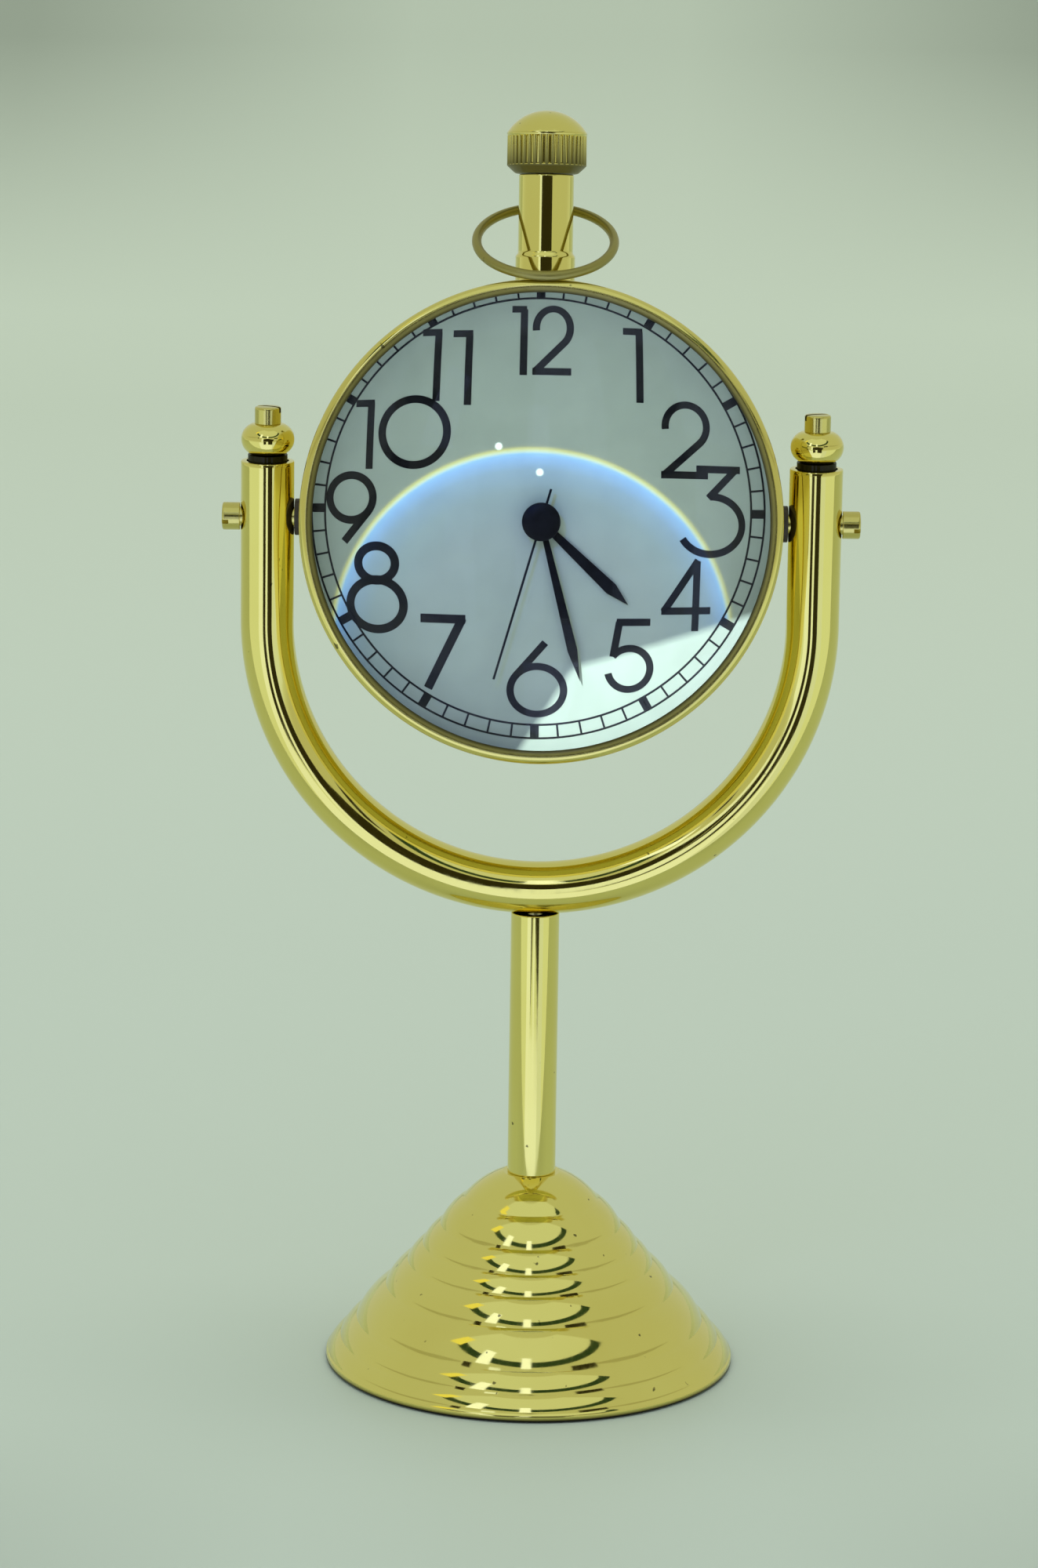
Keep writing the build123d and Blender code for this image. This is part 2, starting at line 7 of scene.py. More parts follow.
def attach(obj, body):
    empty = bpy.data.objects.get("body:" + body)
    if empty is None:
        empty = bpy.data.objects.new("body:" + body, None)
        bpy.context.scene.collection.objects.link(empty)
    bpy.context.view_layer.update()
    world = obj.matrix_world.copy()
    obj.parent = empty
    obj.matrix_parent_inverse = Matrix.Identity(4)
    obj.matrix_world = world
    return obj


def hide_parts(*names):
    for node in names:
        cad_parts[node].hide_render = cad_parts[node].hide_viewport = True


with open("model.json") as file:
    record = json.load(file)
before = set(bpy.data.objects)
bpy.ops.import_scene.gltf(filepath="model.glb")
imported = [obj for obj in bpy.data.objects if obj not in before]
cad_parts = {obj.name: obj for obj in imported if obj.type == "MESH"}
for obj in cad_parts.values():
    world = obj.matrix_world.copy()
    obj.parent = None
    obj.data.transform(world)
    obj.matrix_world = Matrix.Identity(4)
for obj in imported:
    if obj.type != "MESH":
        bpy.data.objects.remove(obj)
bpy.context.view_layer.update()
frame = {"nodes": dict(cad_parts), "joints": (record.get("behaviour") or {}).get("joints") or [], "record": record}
nodes = frame["nodes"]
joints = {joint["name"]: joint for joint in frame["joints"]}
print("stage: frame loaded")

# Shared places: outlines are in millimetres and become metres when their place is applied
mm = 0.001
tiny = 1e-6
pivotPoint = Vector(joints["head_tilt"]["pos_m"])
upAxis = Vector(joints["crown_pull"]["axis"]).normalized()
frontAxis = -Vector(joints["seconds_turn"]["axis"]).normalized()
headTurn = Matrix((upAxis.cross(frontAxis), upAxis, frontAxis)).transposed().to_4x4()
standPlace = Matrix.Scale(mm, 4)
headPlace = Matrix.Translation(pivotPoint) @ headTurn @ standPlace


def spin(angle, axis):
    return Matrix.Rotation(radians(angle), 4, axis)


upPlace = headPlace @ spin(-90, "X")


def arcThrough(first, middle, last, steps):
    (ax, ay), (bx, by), (cx, cy) = first, middle, last
    d = 2 * (ax * (by - cy) + bx * (cy - ay) + cx * (ay - by))
    a2, b2, c2 = ax * ax + ay * ay, bx * bx + by * by, cx * cx + cy * cy
    ux = (a2 * (by - cy) + b2 * (cy - ay) + c2 * (ay - by)) / d
    uy = (a2 * (cx - bx) + b2 * (ax - cx) + c2 * (bx - ax)) / d
    radius = sqrt((ax - ux) ** 2 + (ay - uy) ** 2)
    start = atan2(ay - uy, ax - ux)
    midTurn = (atan2(by - uy, bx - ux) - start) % (2 * pi)
    endTurn = (atan2(cy - uy, cx - ux) - start) % (2 * pi)
    sweep = endTurn if midTurn < endTurn else endTurn - 2 * pi
    turns = [start + sweep * i / steps for i in range(steps + 1)]
    return [(ux + radius * cos(t), uy + radius * sin(t)) for t in turns]


def domeOver(radius, rise, top, steps):
    # Part of a ball from the given radius up to just before its top
    ball = (radius ** 2 + rise ** 2) / (2 * rise)
    half = asin(radius / ball)
    turns = [half * (1 - i / steps) for i in range(steps)]
    return [(ball * sin(t), top - ball + ball * cos(t)) for t in turns]


roundSizes = {"share": 0.48, "longSide": 4, "support": 0.3}


def softened(points, closed=False, steps=4):
    # A point is (r, z) or (r, z, size of the rounding at that corner)
    made = []
    count = len(points)
    for i, point in enumerate(points):
        here = Vector(point[:2])
        size = point[2] if len(point) > 2 else 0
        if not size or (not closed and i in (0, count - 1)):
            made.append(tuple(here))
            continue
        before = Vector(points[i - 1][:2]) - here
        after = Vector(points[(i + 1) % count][:2]) - here
        most = roundSizes["share"] * min(before.length, after.length)
        reach = min(size, most)
        start = here + before.normalized() * reach
        end = here + after.normalized() * reach
        # A point close to the rounding keeps the shading of a long straight side straight
        if before.length > roundSizes["longSide"] * reach:
            made.append(tuple(start + before.normalized() * roundSizes["support"] * reach))
        for k in range(steps + 1):
            t = k / steps
            made.append(tuple(start * (1 - t) ** 2 + here * 2 * t * (1 - t) + end * t * t))
        if after.length > roundSizes["longSide"] * reach:
            made.append(tuple(end + after.normalized() * roundSizes["support"] * reach))
    return made


def placed(name, data):
    made = bpy.data.objects.new(name, data)
    bpy.context.scene.collection.objects.link(made)
    return made


def newObject(name, verts, faces, edges=()):
    mesh = bpy.data.meshes.new(name)
    mesh.from_pydata([tuple(v) for v in verts], list(edges), faces)
    mesh.update()
    return placed(name, mesh)


def faceOutwards(mesh):
    volume = 0.0
    for face in mesh.polygons:
        corners = [mesh.vertices[i].co for i in face.vertices]
        for k in range(1, len(corners) - 1):
            volume += corners[0].dot(corners[k].cross(corners[k + 1]))
    if volume < 0:
        mesh.flip_normals()


def smooth(obj, crease=32):
    mesh = obj.data
    mesh.polygons.foreach_set("use_smooth", [True] * len(mesh.polygons))
    mesh.set_sharp_from_angle(angle=radians(crease))
    mesh.update()


def turned(name, outline, place, around, crease=32, bend=None):
    # Outline of (r, z) turned round local Z, a closed loop unless it starts on the axis
    verts, rings, faces = [], [], []
    for r, z in outline:
        if r < tiny:
            rings.append([len(verts)] * around)
            verts.append(Vector((0, 0, z)))
            continue
        rings.append(range(len(verts), len(verts) + around))
        for k in range(around):
            turn = 2 * pi * k / around
            height = bend(r, z, turn) if bend else z
            verts.append(Vector((r * cos(turn), r * sin(turn), height)))
    pairs = list(zip(rings, rings[1:]))
    if outline[0][0] > tiny:
        pairs.append((rings[-1], rings[0]))
    for low, high in pairs:
        for k in range(around):
            n = (k + 1) % around
            corners = [low[k], low[n], high[n], high[k]]
            face = [c for i, c in enumerate(corners) if c not in corners[:i]]
            if len(face) > 2:
                faces.append(face)
    made = newObject(name, verts, faces)
    made.data.transform(place)
    faceOutwards(made.data)
    smooth(made, crease)
    return made


def lathe(name, points, place, around, **how):
    return turned(name, softened(points, points[0][0] > tiny), place, around, **how)


def join(name, first, other):
    base = len(first.data.vertices)
    verts = [v.co.copy() for part in (first, other) for v in part.data.vertices]
    faces = [list(f.vertices) for f in first.data.polygons]
    faces += [[i + base for i in f.vertices] for f in other.data.polygons]
    first.data = bpy.data.meshes.new(name)
    first.data.from_pydata(verts, [], faces)
    bpy.data.objects.remove(other)
    first.name = name
    smooth(first)
    return first


def applied(obj):
    # The modifiers' result becomes the object's plain mesh
    view = bpy.context.evaluated_depsgraph_get()
    result = bpy.data.meshes.new_from_object(obj.evaluated_get(view))
    obj.modifiers.clear()
    obj.data = result
    return obj


def cut(target, tool):
    step = target.modifiers.new("cut", "BOOLEAN")
    step.operation = "DIFFERENCE"
    step.solver = "EXACT"
    step.object = tool
    applied(target)
    bpy.data.objects.remove(tool)
    smooth(target)


def feed(tree, node, given):
    # What is given to an input is a value, an output, or a node whose first output is meant
    for key, value in given.items():
        if isinstance(value, bpy.types.Node):
            value = value.outputs[0]
        if isinstance(value, bpy.types.NodeSocket):
            tree.links.new(value, node.inputs[key])
        else:
            node.inputs[key].default_value = value


def addNode(tree, kind, given=None, **settings):
    made = tree.nodes.new(kind)
    for key, value in settings.items():
        setattr(made, key, value)
    feed(tree, made, given or {})
    return made


def emptied(holder):
    holder.use_nodes = True
    holder.node_tree.nodes.clear()
    return holder.node_tree


def maths(tree, operation, *values):
    return addNode(tree, "ShaderNodeMath", dict(enumerate(values)), operation=operation).outputs[0]


def newTree(name, sizes):
    # Geometry trees have one named input for each size, and are turned into plain meshes
    tree = bpy.data.node_groups.new(name, "GeometryNodeTree")
    tree.interface.new_socket("Geometry", in_out="INPUT", socket_type="NodeSocketGeometry")
    for label, value in sizes.items():
        kind = "NodeSocketInt" if isinstance(value, int) else "NodeSocketFloat"
        tree.interface.new_socket(label, in_out="INPUT", socket_type=kind)
    tree.interface.new_socket("Geometry", in_out="OUTPUT", socket_type="NodeSocketGeometry")
    return tree, tree.nodes.new("NodeGroupInput").outputs


def endTree(tree, geometry, slot):
    real = addNode(tree, "GeometryNodeRealizeInstances", {"Geometry": geometry})
    painted = addNode(tree, "GeometryNodeSetMaterial", {"Geometry": real, "Material": materials[slot]})
    addNode(tree, "NodeGroupOutput", {0: painted})
    return tree


def grow(host, tree, sizes):
    step = host.modifiers.new("grow", "NODES")
    step.node_group = tree
    for item in tree.interface.items_tree:
        if item.item_type == "SOCKET" and item.in_out == "INPUT" and item.name in sizes:
            step[item.identifier] = sizes[item.name]
    return applied(host)


def newMaterial(name):
    # All materials are painted in object space
    made = bpy.data.materials.new(name)
    tree = emptied(made)
    shader = addNode(tree, "ShaderNodeBsdfPrincipled")
    output = addNode(tree, "ShaderNodeOutputMaterial", {"Surface": shader})
    place = tree.nodes.new("ShaderNodeTexCoord").outputs["Object"]
    return made, tree, shader, output, place


def noise(tree, place, scale, detail, stretch=None):
    if stretch:
        place = addNode(tree, "ShaderNodeMapping", {"Vector": place, "Scale": stretch})
    grain = {"Vector": place, "Scale": scale, "Detail": detail}
    return addNode(tree, "ShaderNodeTexNoise", grain).outputs[0]


def ranged(tree, value, low, high, outLow=0, outHigh=1):
    ends = {"Value": value, "From Min": low, "From Max": high, "To Min": outLow, "To Max": outHigh}
    return addNode(tree, "ShaderNodeMapRange", ends).outputs[0]


def mixed(tree, factor, first, second):
    ends = [c if isinstance(c, bpy.types.NodeSocket) else (*c, 1) for c in (first, second)]
    return addNode(tree, "ShaderNodeMix", {0: factor, 6: ends[0], 7: ends[1]}, data_type="RGBA").outputs[2]


def bumped(tree, shader, height, distance, strength=1.0):
    relief = {"Height": height, "Distance": distance, "Strength": strength}
    feed(tree, shader, {"Normal": addNode(tree, "ShaderNodeBump", relief)})


# Noises are (scale, detail); ranges are where a noise starts and ends to show
brassLook = {"coat": 0.22, "coatRough": 0.04, "clouds": (42, 4), "cloudRange": (0.42, 0.72),
             "pits": (520, 2), "pitEdge": 0.03, "pitDark": 0.25, "hairs": (60, 3, (14, 14, 1)),
             "hairRange": (0.35, 0.7), "hairRough": 0.05, "dents": (180, 2), "dentDeep": 0.00002,
             "dentShown": 0.35, "tarnishAndShadeDark": 0.04, "tarnishRough": 0.6}


def brass(name, colour, aged, roughness, specks):
    look = brassLook
    made, tree, shader, output, place = newMaterial(name)
    cloud = ranged(tree, noise(tree, place, *look["clouds"]), *look["cloudRange"])
    body = mixed(tree, cloud, colour, aged)
    pits = ranged(tree, noise(tree, place, *look["pits"]), specks, specks + look["pitEdge"])
    pitted = mixed(tree, pits, body, [c * look["pitDark"] for c in aged])
    # The attribute darkens and dulls the brass: tarnished brass, and painted shade in the groove under the finial
    # bead, inside the bezel's lip, along the base's foot and under the crown's flutes
    dullingAndShade = addNode(tree, "ShaderNodeAttribute", attribute_name="tarnishAndShade").outputs["Fac"]
    dulledAndShaded = mixed(tree, dullingAndShade, pitted, [c * look["tarnishAndShadeDark"] for c in aged])
    hairs = noise(tree, place, *look["hairs"])
    polish = ranged(tree, hairs, *look["hairRange"], roughness, roughness + look["hairRough"])
    rough = maths(tree, "MULTIPLY_ADD", dullingAndShade, look["tarnishRough"], polish)
    feed(tree, shader, {"Metallic": 1, "Coat Weight": look["coat"], "Coat Roughness": look["coatRough"],
                        "Base Color": dulledAndShaded, "Roughness": rough})
    bumped(tree, shader, noise(tree, place, *look["dents"]), look["dentDeep"], look["dentShown"])
    return made


plainLook = {"detail": 4, "toneRange": (0.35, 0.65), "roughRange": (0.3, 0.7), "rougher": 0.08}


def plain(name, colour, second, scale, roughness, metal=0.0, relief=0.0, stretch=None, gloss=0.5):
    look = plainLook
    made, tree, shader, output, place = newMaterial(name)
    grain = noise(tree, place, scale, look["detail"], stretch)
    tone = mixed(tree, ranged(tree, grain, *look["toneRange"]), colour, second)
    rough = ranged(tree, grain, *look["roughRange"], roughness, roughness + look["rougher"])
    feed(tree, shader, {"Metallic": metal, "Specular IOR Level": gloss, "Base Color": tone,
                        "Roughness": rough})
    if relief:
        bumped(tree, shader, grain, relief)
    return made


glassLook = {"bending": 1.5, "mirror": (0.25, 0.25, 0.25, 1), "smudges": (70, 4),
             "smudgeRange": (0.5, 0.8), "smudgeRough": 0.012, "clean": (0.97, 0.99, 0.985),
             "smudged": (0.95, 0.98, 0.975), "shadow": (0.94, 0.99, 0.99, 1)}


def glass(name):
    # Clear glass that lets the lamps' light straight through to the dial
    look = glassLook
    made, tree, shader, output, place = newMaterial(name)
    smudge = ranged(tree, noise(tree, place, *look["smudges"]), *look["smudgeRange"])
    feed(tree, shader, {"Transmission Weight": 1, "IOR": look["bending"], "Specular Tint": look["mirror"],
                        "Base Color": mixed(tree, smudge, look["clean"], look["smudged"]),
                        "Roughness": ranged(tree, smudge, 0, 1, 0, look["smudgeRough"])})
    rays = tree.nodes.new("ShaderNodeLightPath").outputs["Is Shadow Ray"]
    clear = addNode(tree, "ShaderNodeBsdfTransparent", {0: look["shadow"]})
    feed(tree, output, {"Surface": addNode(tree, "ShaderNodeMixShader", {0: rays, 1: shader, 2: clear})})
    return made


materials = {
    "polished_brass": brass("polishedBrass", (0.80, 0.69, 0.195), (0.77, 0.65, 0.17), 0.045, 0.74),
    "felt": plain("felt", (0.012, 0.012, 0.010), (0.03, 0.03, 0.026), 1800, 0.88, relief=0.0002),
    "steel": plain("steel", (0.56, 0.56, 0.55), (0.42, 0.42, 0.41), 900, 0.26, 1.0, stretch=(1, 1, 12)),
    "washer_fibre": plain("washerFibre", (0.055, 0.042, 0.030), (0.035, 0.027, 0.020), 1400, 0.6,
                          relief=0.00003),
    "lens_glass": glass("lensGlass"),
    "ring_black": plain("ringBlack", (0.014, 0.014, 0.013), (0.024, 0.024, 0.022), 700, 0.38),
    # The dial's white paint is given greyer than white: painted shade for the light that the lens keeps from the
    # dial
    "dial_white": plain("dialWhitePaintedShade", (0.60, 0.675, 0.505), (0.57, 0.64, 0.48), 260, 0.55, relief=0.000004),
    "hand_black": plain("handBlack", (0.006, 0.006, 0.007), (0.010, 0.010, 0.012), 800, 0.35, gloss=0.12),
    "holder_plastic": plain("holderPlastic", (0.55, 0.55, 0.52), (0.47, 0.47, 0.44), 500, 0.5),
    "plate_brass": brass("plateBrass", (0.74, 0.56, 0.20), (0.66, 0.48, 0.16), 0.22, 0.78),
    "motor_steel": plain("motorSteel", (0.46, 0.47, 0.48), (0.36, 0.37, 0.38), 800, 0.33, 1.0),
    "copper_wire": plain("copperWire", (0.72, 0.30, 0.12), (0.55, 0.21, 0.08), 1500, 0.3, 1.0, 0.00002,
                         (1, 14, 1)),
    "board_green": plain("boardGreen", (0.02, 0.16, 0.06), (0.03, 0.21, 0.08), 600, 0.4),
    "cell_steel": plain("cellSteel", (0.60, 0.61, 0.62), (0.52, 0.53, 0.54), 400, 0.2, 1.0),
}
slotOf = {entry["node"]: entry["material_slot"] for entry in frame["record"]["subparts"]}
for name, node in nodes.items():
    node.data.materials.clear()
    node.data.materials.append(materials[slotOf[name]])
print("stage: materials", len(materials))


def tarnishAndShade(obj, amount):
    # Duller, darker brass: tarnished where hands or cloth seldom polish it, and painted shade where the amount
    # stands for shade in hollows and under things
    layer = obj.data.attributes.new("tarnishAndShade", "FLOAT", "POINT")
    amounts = [amount(v.co) if callable(amount) else amount for v in obj.data.vertices]
    layer.data.foreach_set("value", amounts)
    return obj


def settle(obj, body, slot, *replaced):
    obj.data.materials.clear()
    obj.data.materials.append(materials[slot])
    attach(obj, body)
    if replaced:
        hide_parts(*replaced)
    return obj


# Stand: spun base on a pad, bent yoke on a plain stem, finials on the posts
baseSizes = {"radius": 31.0, "foot": 0.4, "rim": 1.4, "rimIn": 0.3, "rimRound": 0.2, "rimDark": 0.05,
             "sheet": 1.1, "shelf": (10.2, 25.4), "bulge": 0.076, "ridgeSteps": 16,
             "ridges": (0.0, 0.093, 0.211, 0.428, 0.587, 0.699, 0.828, 1.0),
             "capFoot": (10.1, 25.5), "capCrest": (7.7, 27.79), "capTop": (4.27, 29.6), "capSteps": 18,
             "bore": 1.5, "under": 25.99, "underRadius": 5.2, "around": 256, "crease": 20}


def baseOutline(s):
    low = Vector((s["radius"] - s["rimIn"], s["rim"]))
    rise = Vector(s["shelf"]) - low
    outward = Vector((rise.y, -rise.x)).normalized()
    points = softened([(s["radius"], s["foot"]), (s["radius"], s["rim"] - s["rimIn"], s["rimRound"]),
                       tuple(low)])[:-1]
    for lowShare, highShare in zip(s["ridges"], s["ridges"][1:]):
        start = low + rise * lowShare
        end = low + rise * highShare
        crest = (start + end) / 2 + outward * s["bulge"] * (end - start).length
        points += arcThrough(start, crest, end, s["ridgeSteps"])[:-1]
    points += [s["shelf"]]
    points += arcThrough(s["capFoot"], s["capCrest"], s["capTop"], s["capSteps"])
    points += [(s["bore"], s["capTop"][1]), (s["bore"], s["under"]), (s["underRadius"], s["under"])]
    points += [(s["radius"] - s["sheet"], s["foot"])]
    return points


def rimPaintedShade(point):
    # Painted shade along the foot, where the sheet meets the pad
    return 1.0 if point.z < (baseSizes["foot"] + baseSizes["rimDark"]) * mm else 0.0


baseCone = turned("baseCone", baseOutline(baseSizes), standPlace, baseSizes["around"], baseSizes["crease"])
settle(tarnishAndShade(baseCone, rimPaintedShade), "stand", "polished_brass", "base_cone")

padSizes = {"radius": 30.5, "thick": 0.4, "round": 0.1, "around": 192}


def padPoints(s):
    return [(0, 0), (s["radius"], 0, s["round"]), (s["radius"], s["thick"], s["round"]), (0, s["thick"])]


basePad = lathe("basePad", padPoints(padSizes), standPlace, padSizes["around"])
settle(basePad, "stand", "felt", "base_pad")

yokeSizes = {"half": 40.5, "centre": 114.45, "top": 138.3, "tube": 3.95, "bore": 3.15, "edge": 0.18,
             "edgeCut": 0.3, "rimStep": 0.002, "pivot": 129.9, "hole": 1.5, "holeEnd": 60,
             "holeAround": 48, "sides": 96, "bendSteps": 160, "postSteps": 34}


def yokePath(s):
    # Path points with the tube's radius at each; both ends turn in over the rim to the plug
    high = s["top"] - s["centre"]
    post = [s["centre"] + high * (1 - i / s["postSteps"]) for i in range(s["postSteps"] + 1)]
    corner = s["edgeCut"] * s["edge"]
    ends = [(s["top"], s["bore"]), (s["top"] - s["rimStep"], s["tube"] - s["edge"]),
            (s["top"] - corner, s["tube"] - corner), (s["top"] - s["edge"], s["tube"])]
    leg = ends + [(z, s["tube"]) for z in post[1:]]
    left = [(Vector((-s["half"], 0, z)), r) for z, r in leg]
    bend = []
    for i in range(1, s["bendSteps"]):
        t = pi * i / s["bendSteps"]
        bend.append((Vector((-s["half"] * cos(t), 0, s["centre"] - s["half"] * sin(t))), s["tube"]))
    right = [(Vector((s["half"], 0, z)), r) for z, r in reversed(leg)]
    return left + bend + right


def sweptTree(sizes):
    tree, given = newTree("sweptTube", sizes)
    path = addNode(tree, "GeometryNodeMeshToCurve", {"Mesh": given["Geometry"]})
    width = addNode(tree, "GeometryNodeInputNamedAttribute", {"Name": "tubeRadius"}, data_type="FLOAT")
    ring = addNode(tree, "GeometryNodeCurvePrimitiveCircle", {"Resolution": given["sides"], "Radius": 1.0})
    swept = {"Curve": path, "Profile Curve": ring, "Scale": width, "Fill Caps": True}
    return endTree(tree, addNode(tree, "GeometryNodeCurveToMesh", swept), "polished_brass")


def bentYoke(s):
    path = yokePath(s)
    made = newObject("yokeTube", [p for p, r in path], [], [(i, i + 1) for i in range(len(path) - 1)])
    widths = made.data.attributes.new("tubeRadius", "FLOAT", "POINT")
    widths.data.foreach_set("value", [r for p, r in path])
    tubeSizes = {"sides": s["sides"]}
    grow(made, sweptTree(tubeSizes), tubeSizes)
    made.data.transform(standPlace)
    faceOutwards(made.data)
    across = standPlace @ Matrix.Translation((0, 0, s["pivot"])) @ spin(90, "Y")
    drill = [(0, -s["holeEnd"]), (s["hole"], -s["holeEnd"]), (s["hole"], s["holeEnd"]), (0, s["holeEnd"])]
    cut(made, turned("crossHole", drill, across, s["holeAround"]))
    return made


settle(bentYoke(yokeSizes), "stand", "polished_brass", "yoke_tube")

stemSizes = {"radius": 3.65, "low": 29.6, "high": 70.25, "round": 0.15, "cup": 0.8, "cupDeep": 0.25,
             "around": 128}


def coped(r, z, turn):
    # Upper ring ends flat, or at the bent tube's underside where that is lower
    x, y = r * cos(turn), r * sin(turn)
    reach = yokeSizes["half"] + sqrt(yokeSizes["tube"] ** 2 - y * y)
    return min(z, yokeSizes["centre"] - sqrt(reach * reach - x * x))


def stemPoints(s):
    return [(0, s["low"]), (s["radius"], s["low"], s["round"]), (s["radius"], s["high"], s["round"]),
            (s["cup"] * s["radius"], s["high"]), (0, s["high"] - s["cupDeep"])]


stem = lathe("stemTube", stemPoints(stemSizes), standPlace, stemSizes["around"], bend=coped)
settle(stem, "stand", "polished_brass", "stem_tube")

# Slotted screw heads, with a rounded edge and a slight crown
screwSizes = {"tipRound": 0.2, "seatRound": 0.12, "edge": 0.12, "edgeRound": 0.3, "crown": 0.55,
              "crownRound": 0.8, "steps": 6, "slotPast": 1, "around": 72, "crease": 40}


def screwHead(name, s, shankLong, place):
    # The head stands on local z = 0; s holds the sizes of the screw
    radius, high, shank = s["head"], s["headHigh"], s["shank"]
    k = screwSizes
    points = [(0, -shankLong), (shank, -shankLong, k["tipRound"]), (shank, 0), (radius, 0, k["seatRound"]),
              (radius, high - k["edge"], k["edgeRound"]), (k["crown"] * radius, high, k["crownRound"]),
              (0, high)]
    head = turned(name, softened(points, steps=k["steps"]), Matrix.Identity(4), k["around"], k["crease"])
    half = s["slotWide"] / 2
    corners = [Vector((x, y, z)) for z in (high - s["slotDeep"], high + k["slotPast"])
               for y in (-half, half) for x in (-2 * radius, 2 * radius)]
    sides = [(0, 2, 3, 1), (4, 5, 7, 6), (0, 1, 5, 4), (2, 6, 7, 3), (0, 4, 6, 2), (1, 3, 7, 5)]
    cut(head, newObject("slot", corners, sides))
    head.data.transform(place)
    return head


finialSizes = {"across": 40.5, "top": 138.3, "plug": 3.15, "plugDeep": 4.6, "groove": 2.92,
               "grooveHigh": 0.9, "bead": 3.95, "beadHigh": 4.6, "flat": 2.29, "beadSteps": 28,
               "head": 1.95, "headHigh": 2.6, "shank": 1.1, "shankLong": 1.0, "slotWide": 0.6,
               "slotDeep": 0.9, "slotTurn": 20, "grooveShade": 1.0, "screwTarnish": 0.2, "plugAround": 72,
               "beadAround": 96}


def finial(name, side, s):
    foot = standPlace @ Matrix.Translation((side * s["across"], 0, s["top"]))
    plugPoints = [(0, -s["plugDeep"]), (s["plug"], -s["plugDeep"]), (s["plug"], 0.0), (s["groove"], 0.0),
                  (s["groove"], s["grooveHigh"]), (0, s["grooveHigh"])]
    plug = lathe("postPlug_" + name, plugPoints, foot, s["plugAround"])
    # The plug, groove included, is painted black as the shade in the groove under the bead
    settle(tarnishAndShade(plug, s["grooveShade"]), "stand", "polished_brass", "post_plug_" + name)
    low, high = s["grooveHigh"], s["grooveHigh"] + s["beadHigh"]
    ball = arcThrough((s["flat"], low), (s["bead"], (low + high) / 2), (s["flat"], high), s["beadSteps"])
    bead = turned("finialBead_" + name, [(0, low), *ball, (0, high)], foot, s["beadAround"])
    settle(bead, "stand", "polished_brass", "finial_bead_" + name)
    seat = foot @ Matrix.Translation((0, 0, high)) @ spin(side * s["slotTurn"], "Z")
    screw = screwHead("finialScrew_" + name, s, s["shankLong"], seat)
    settle(tarnishAndShade(screw, s["screwTarnish"]), "stand", "polished_brass", "finial_screw_" + name)


bothSides = (("left", -1), ("right", 1))
for name, side in bothSides:
    finial(name, side, finialSizes)
print("stage: stand built")

# Head: case, lens and swivel
caseSizes = {"radius": 35.4, "band": 34.9, "inner": 34.1, "back": -10.0, "front": 8.0, "skirt": 6.0,
             "face": 12.4, "round": 1.2, "rollSteps": 12, "lip": 33.4, "lipUnder": 11.65, "lipDrop": 0.2,
             "lipRound": 0.14, "seat": 11.0, "edgeRound": 0.1, "skirtRound": 0.12, "bandAround": 224,
             "bezelAround": 256, "tarnishAndShade": ((0.5, 0.9), (1.1, 0.32), (9.0, 0.1))}


def bandPoints(c):
    return [(c["band"], c["back"], c["edgeRound"]), (c["band"], c["front"]), (c["inner"], c["front"]),
            (c["inner"], c["back"], c["edgeRound"])]


def bezelOutline(c):
    shoulder = c["face"] - c["round"]
    middle = c["round"] * sin(pi / 4)
    crest = (c["radius"] - c["round"] + middle, shoulder + middle)
    top = (c["radius"] - c["round"], c["face"])
    roll = arcThrough((c["radius"], shoulder), crest, top, c["rollSteps"])
    rest = softened([roll[-1], (c["lip"], c["face"] - c["lipDrop"], c["lipRound"]),
                     (c["lip"], c["lipUnder"], c["edgeRound"]), (c["inner"], c["seat"]),
                     (c["inner"], c["front"]), (c["band"], c["front"]), (c["band"], c["skirt"]),
                     (c["radius"], c["skirt"], c["skirtRound"]), roll[0]])
    return roll[:-1] + rest[:-1]


def lipShadeAndDullness(point):
    # Painted shade inside the lip, and a little duller on the face; a pair is how far out it reaches and the
    # amount of darkening and dullness
    aside = (headPlace.inverted() @ point).xy.length - caseSizes["lip"]
    return next(amount for reach, amount in caseSizes["tarnishAndShade"] if aside < reach)


caseBand = lathe("caseBand", bandPoints(caseSizes), headPlace, caseSizes["bandAround"])
settle(caseBand, "head", "polished_brass", "case_band")
bezel = turned("frontBezel", bezelOutline(caseSizes), headPlace, caseSizes["bezelAround"])
settle(tarnishAndShade(bezel, lipShadeAndDullness), "head", "polished_brass", "front_bezel")

coverSizes = {"edge": 34.9, "inner": 34.1, "wall": 0.8, "back": -10.0, "deep": 1.6, "flat": 28.8,
              "flatRound": 3.0, "edgeIn": 0.4, "edgeDeep": 1.0, "edgeRound": 0.3, "side": 0.6,
              "sideRound": 0.2, "reach": -5.5, "wallRound": 0.1, "around": 224, "lip": 3.2, "lipOut": 0.8,
              "lipThick": 0.6, "lipGap": 0.02, "lipRound": (0.2, 0.1), "lipAround": 64}


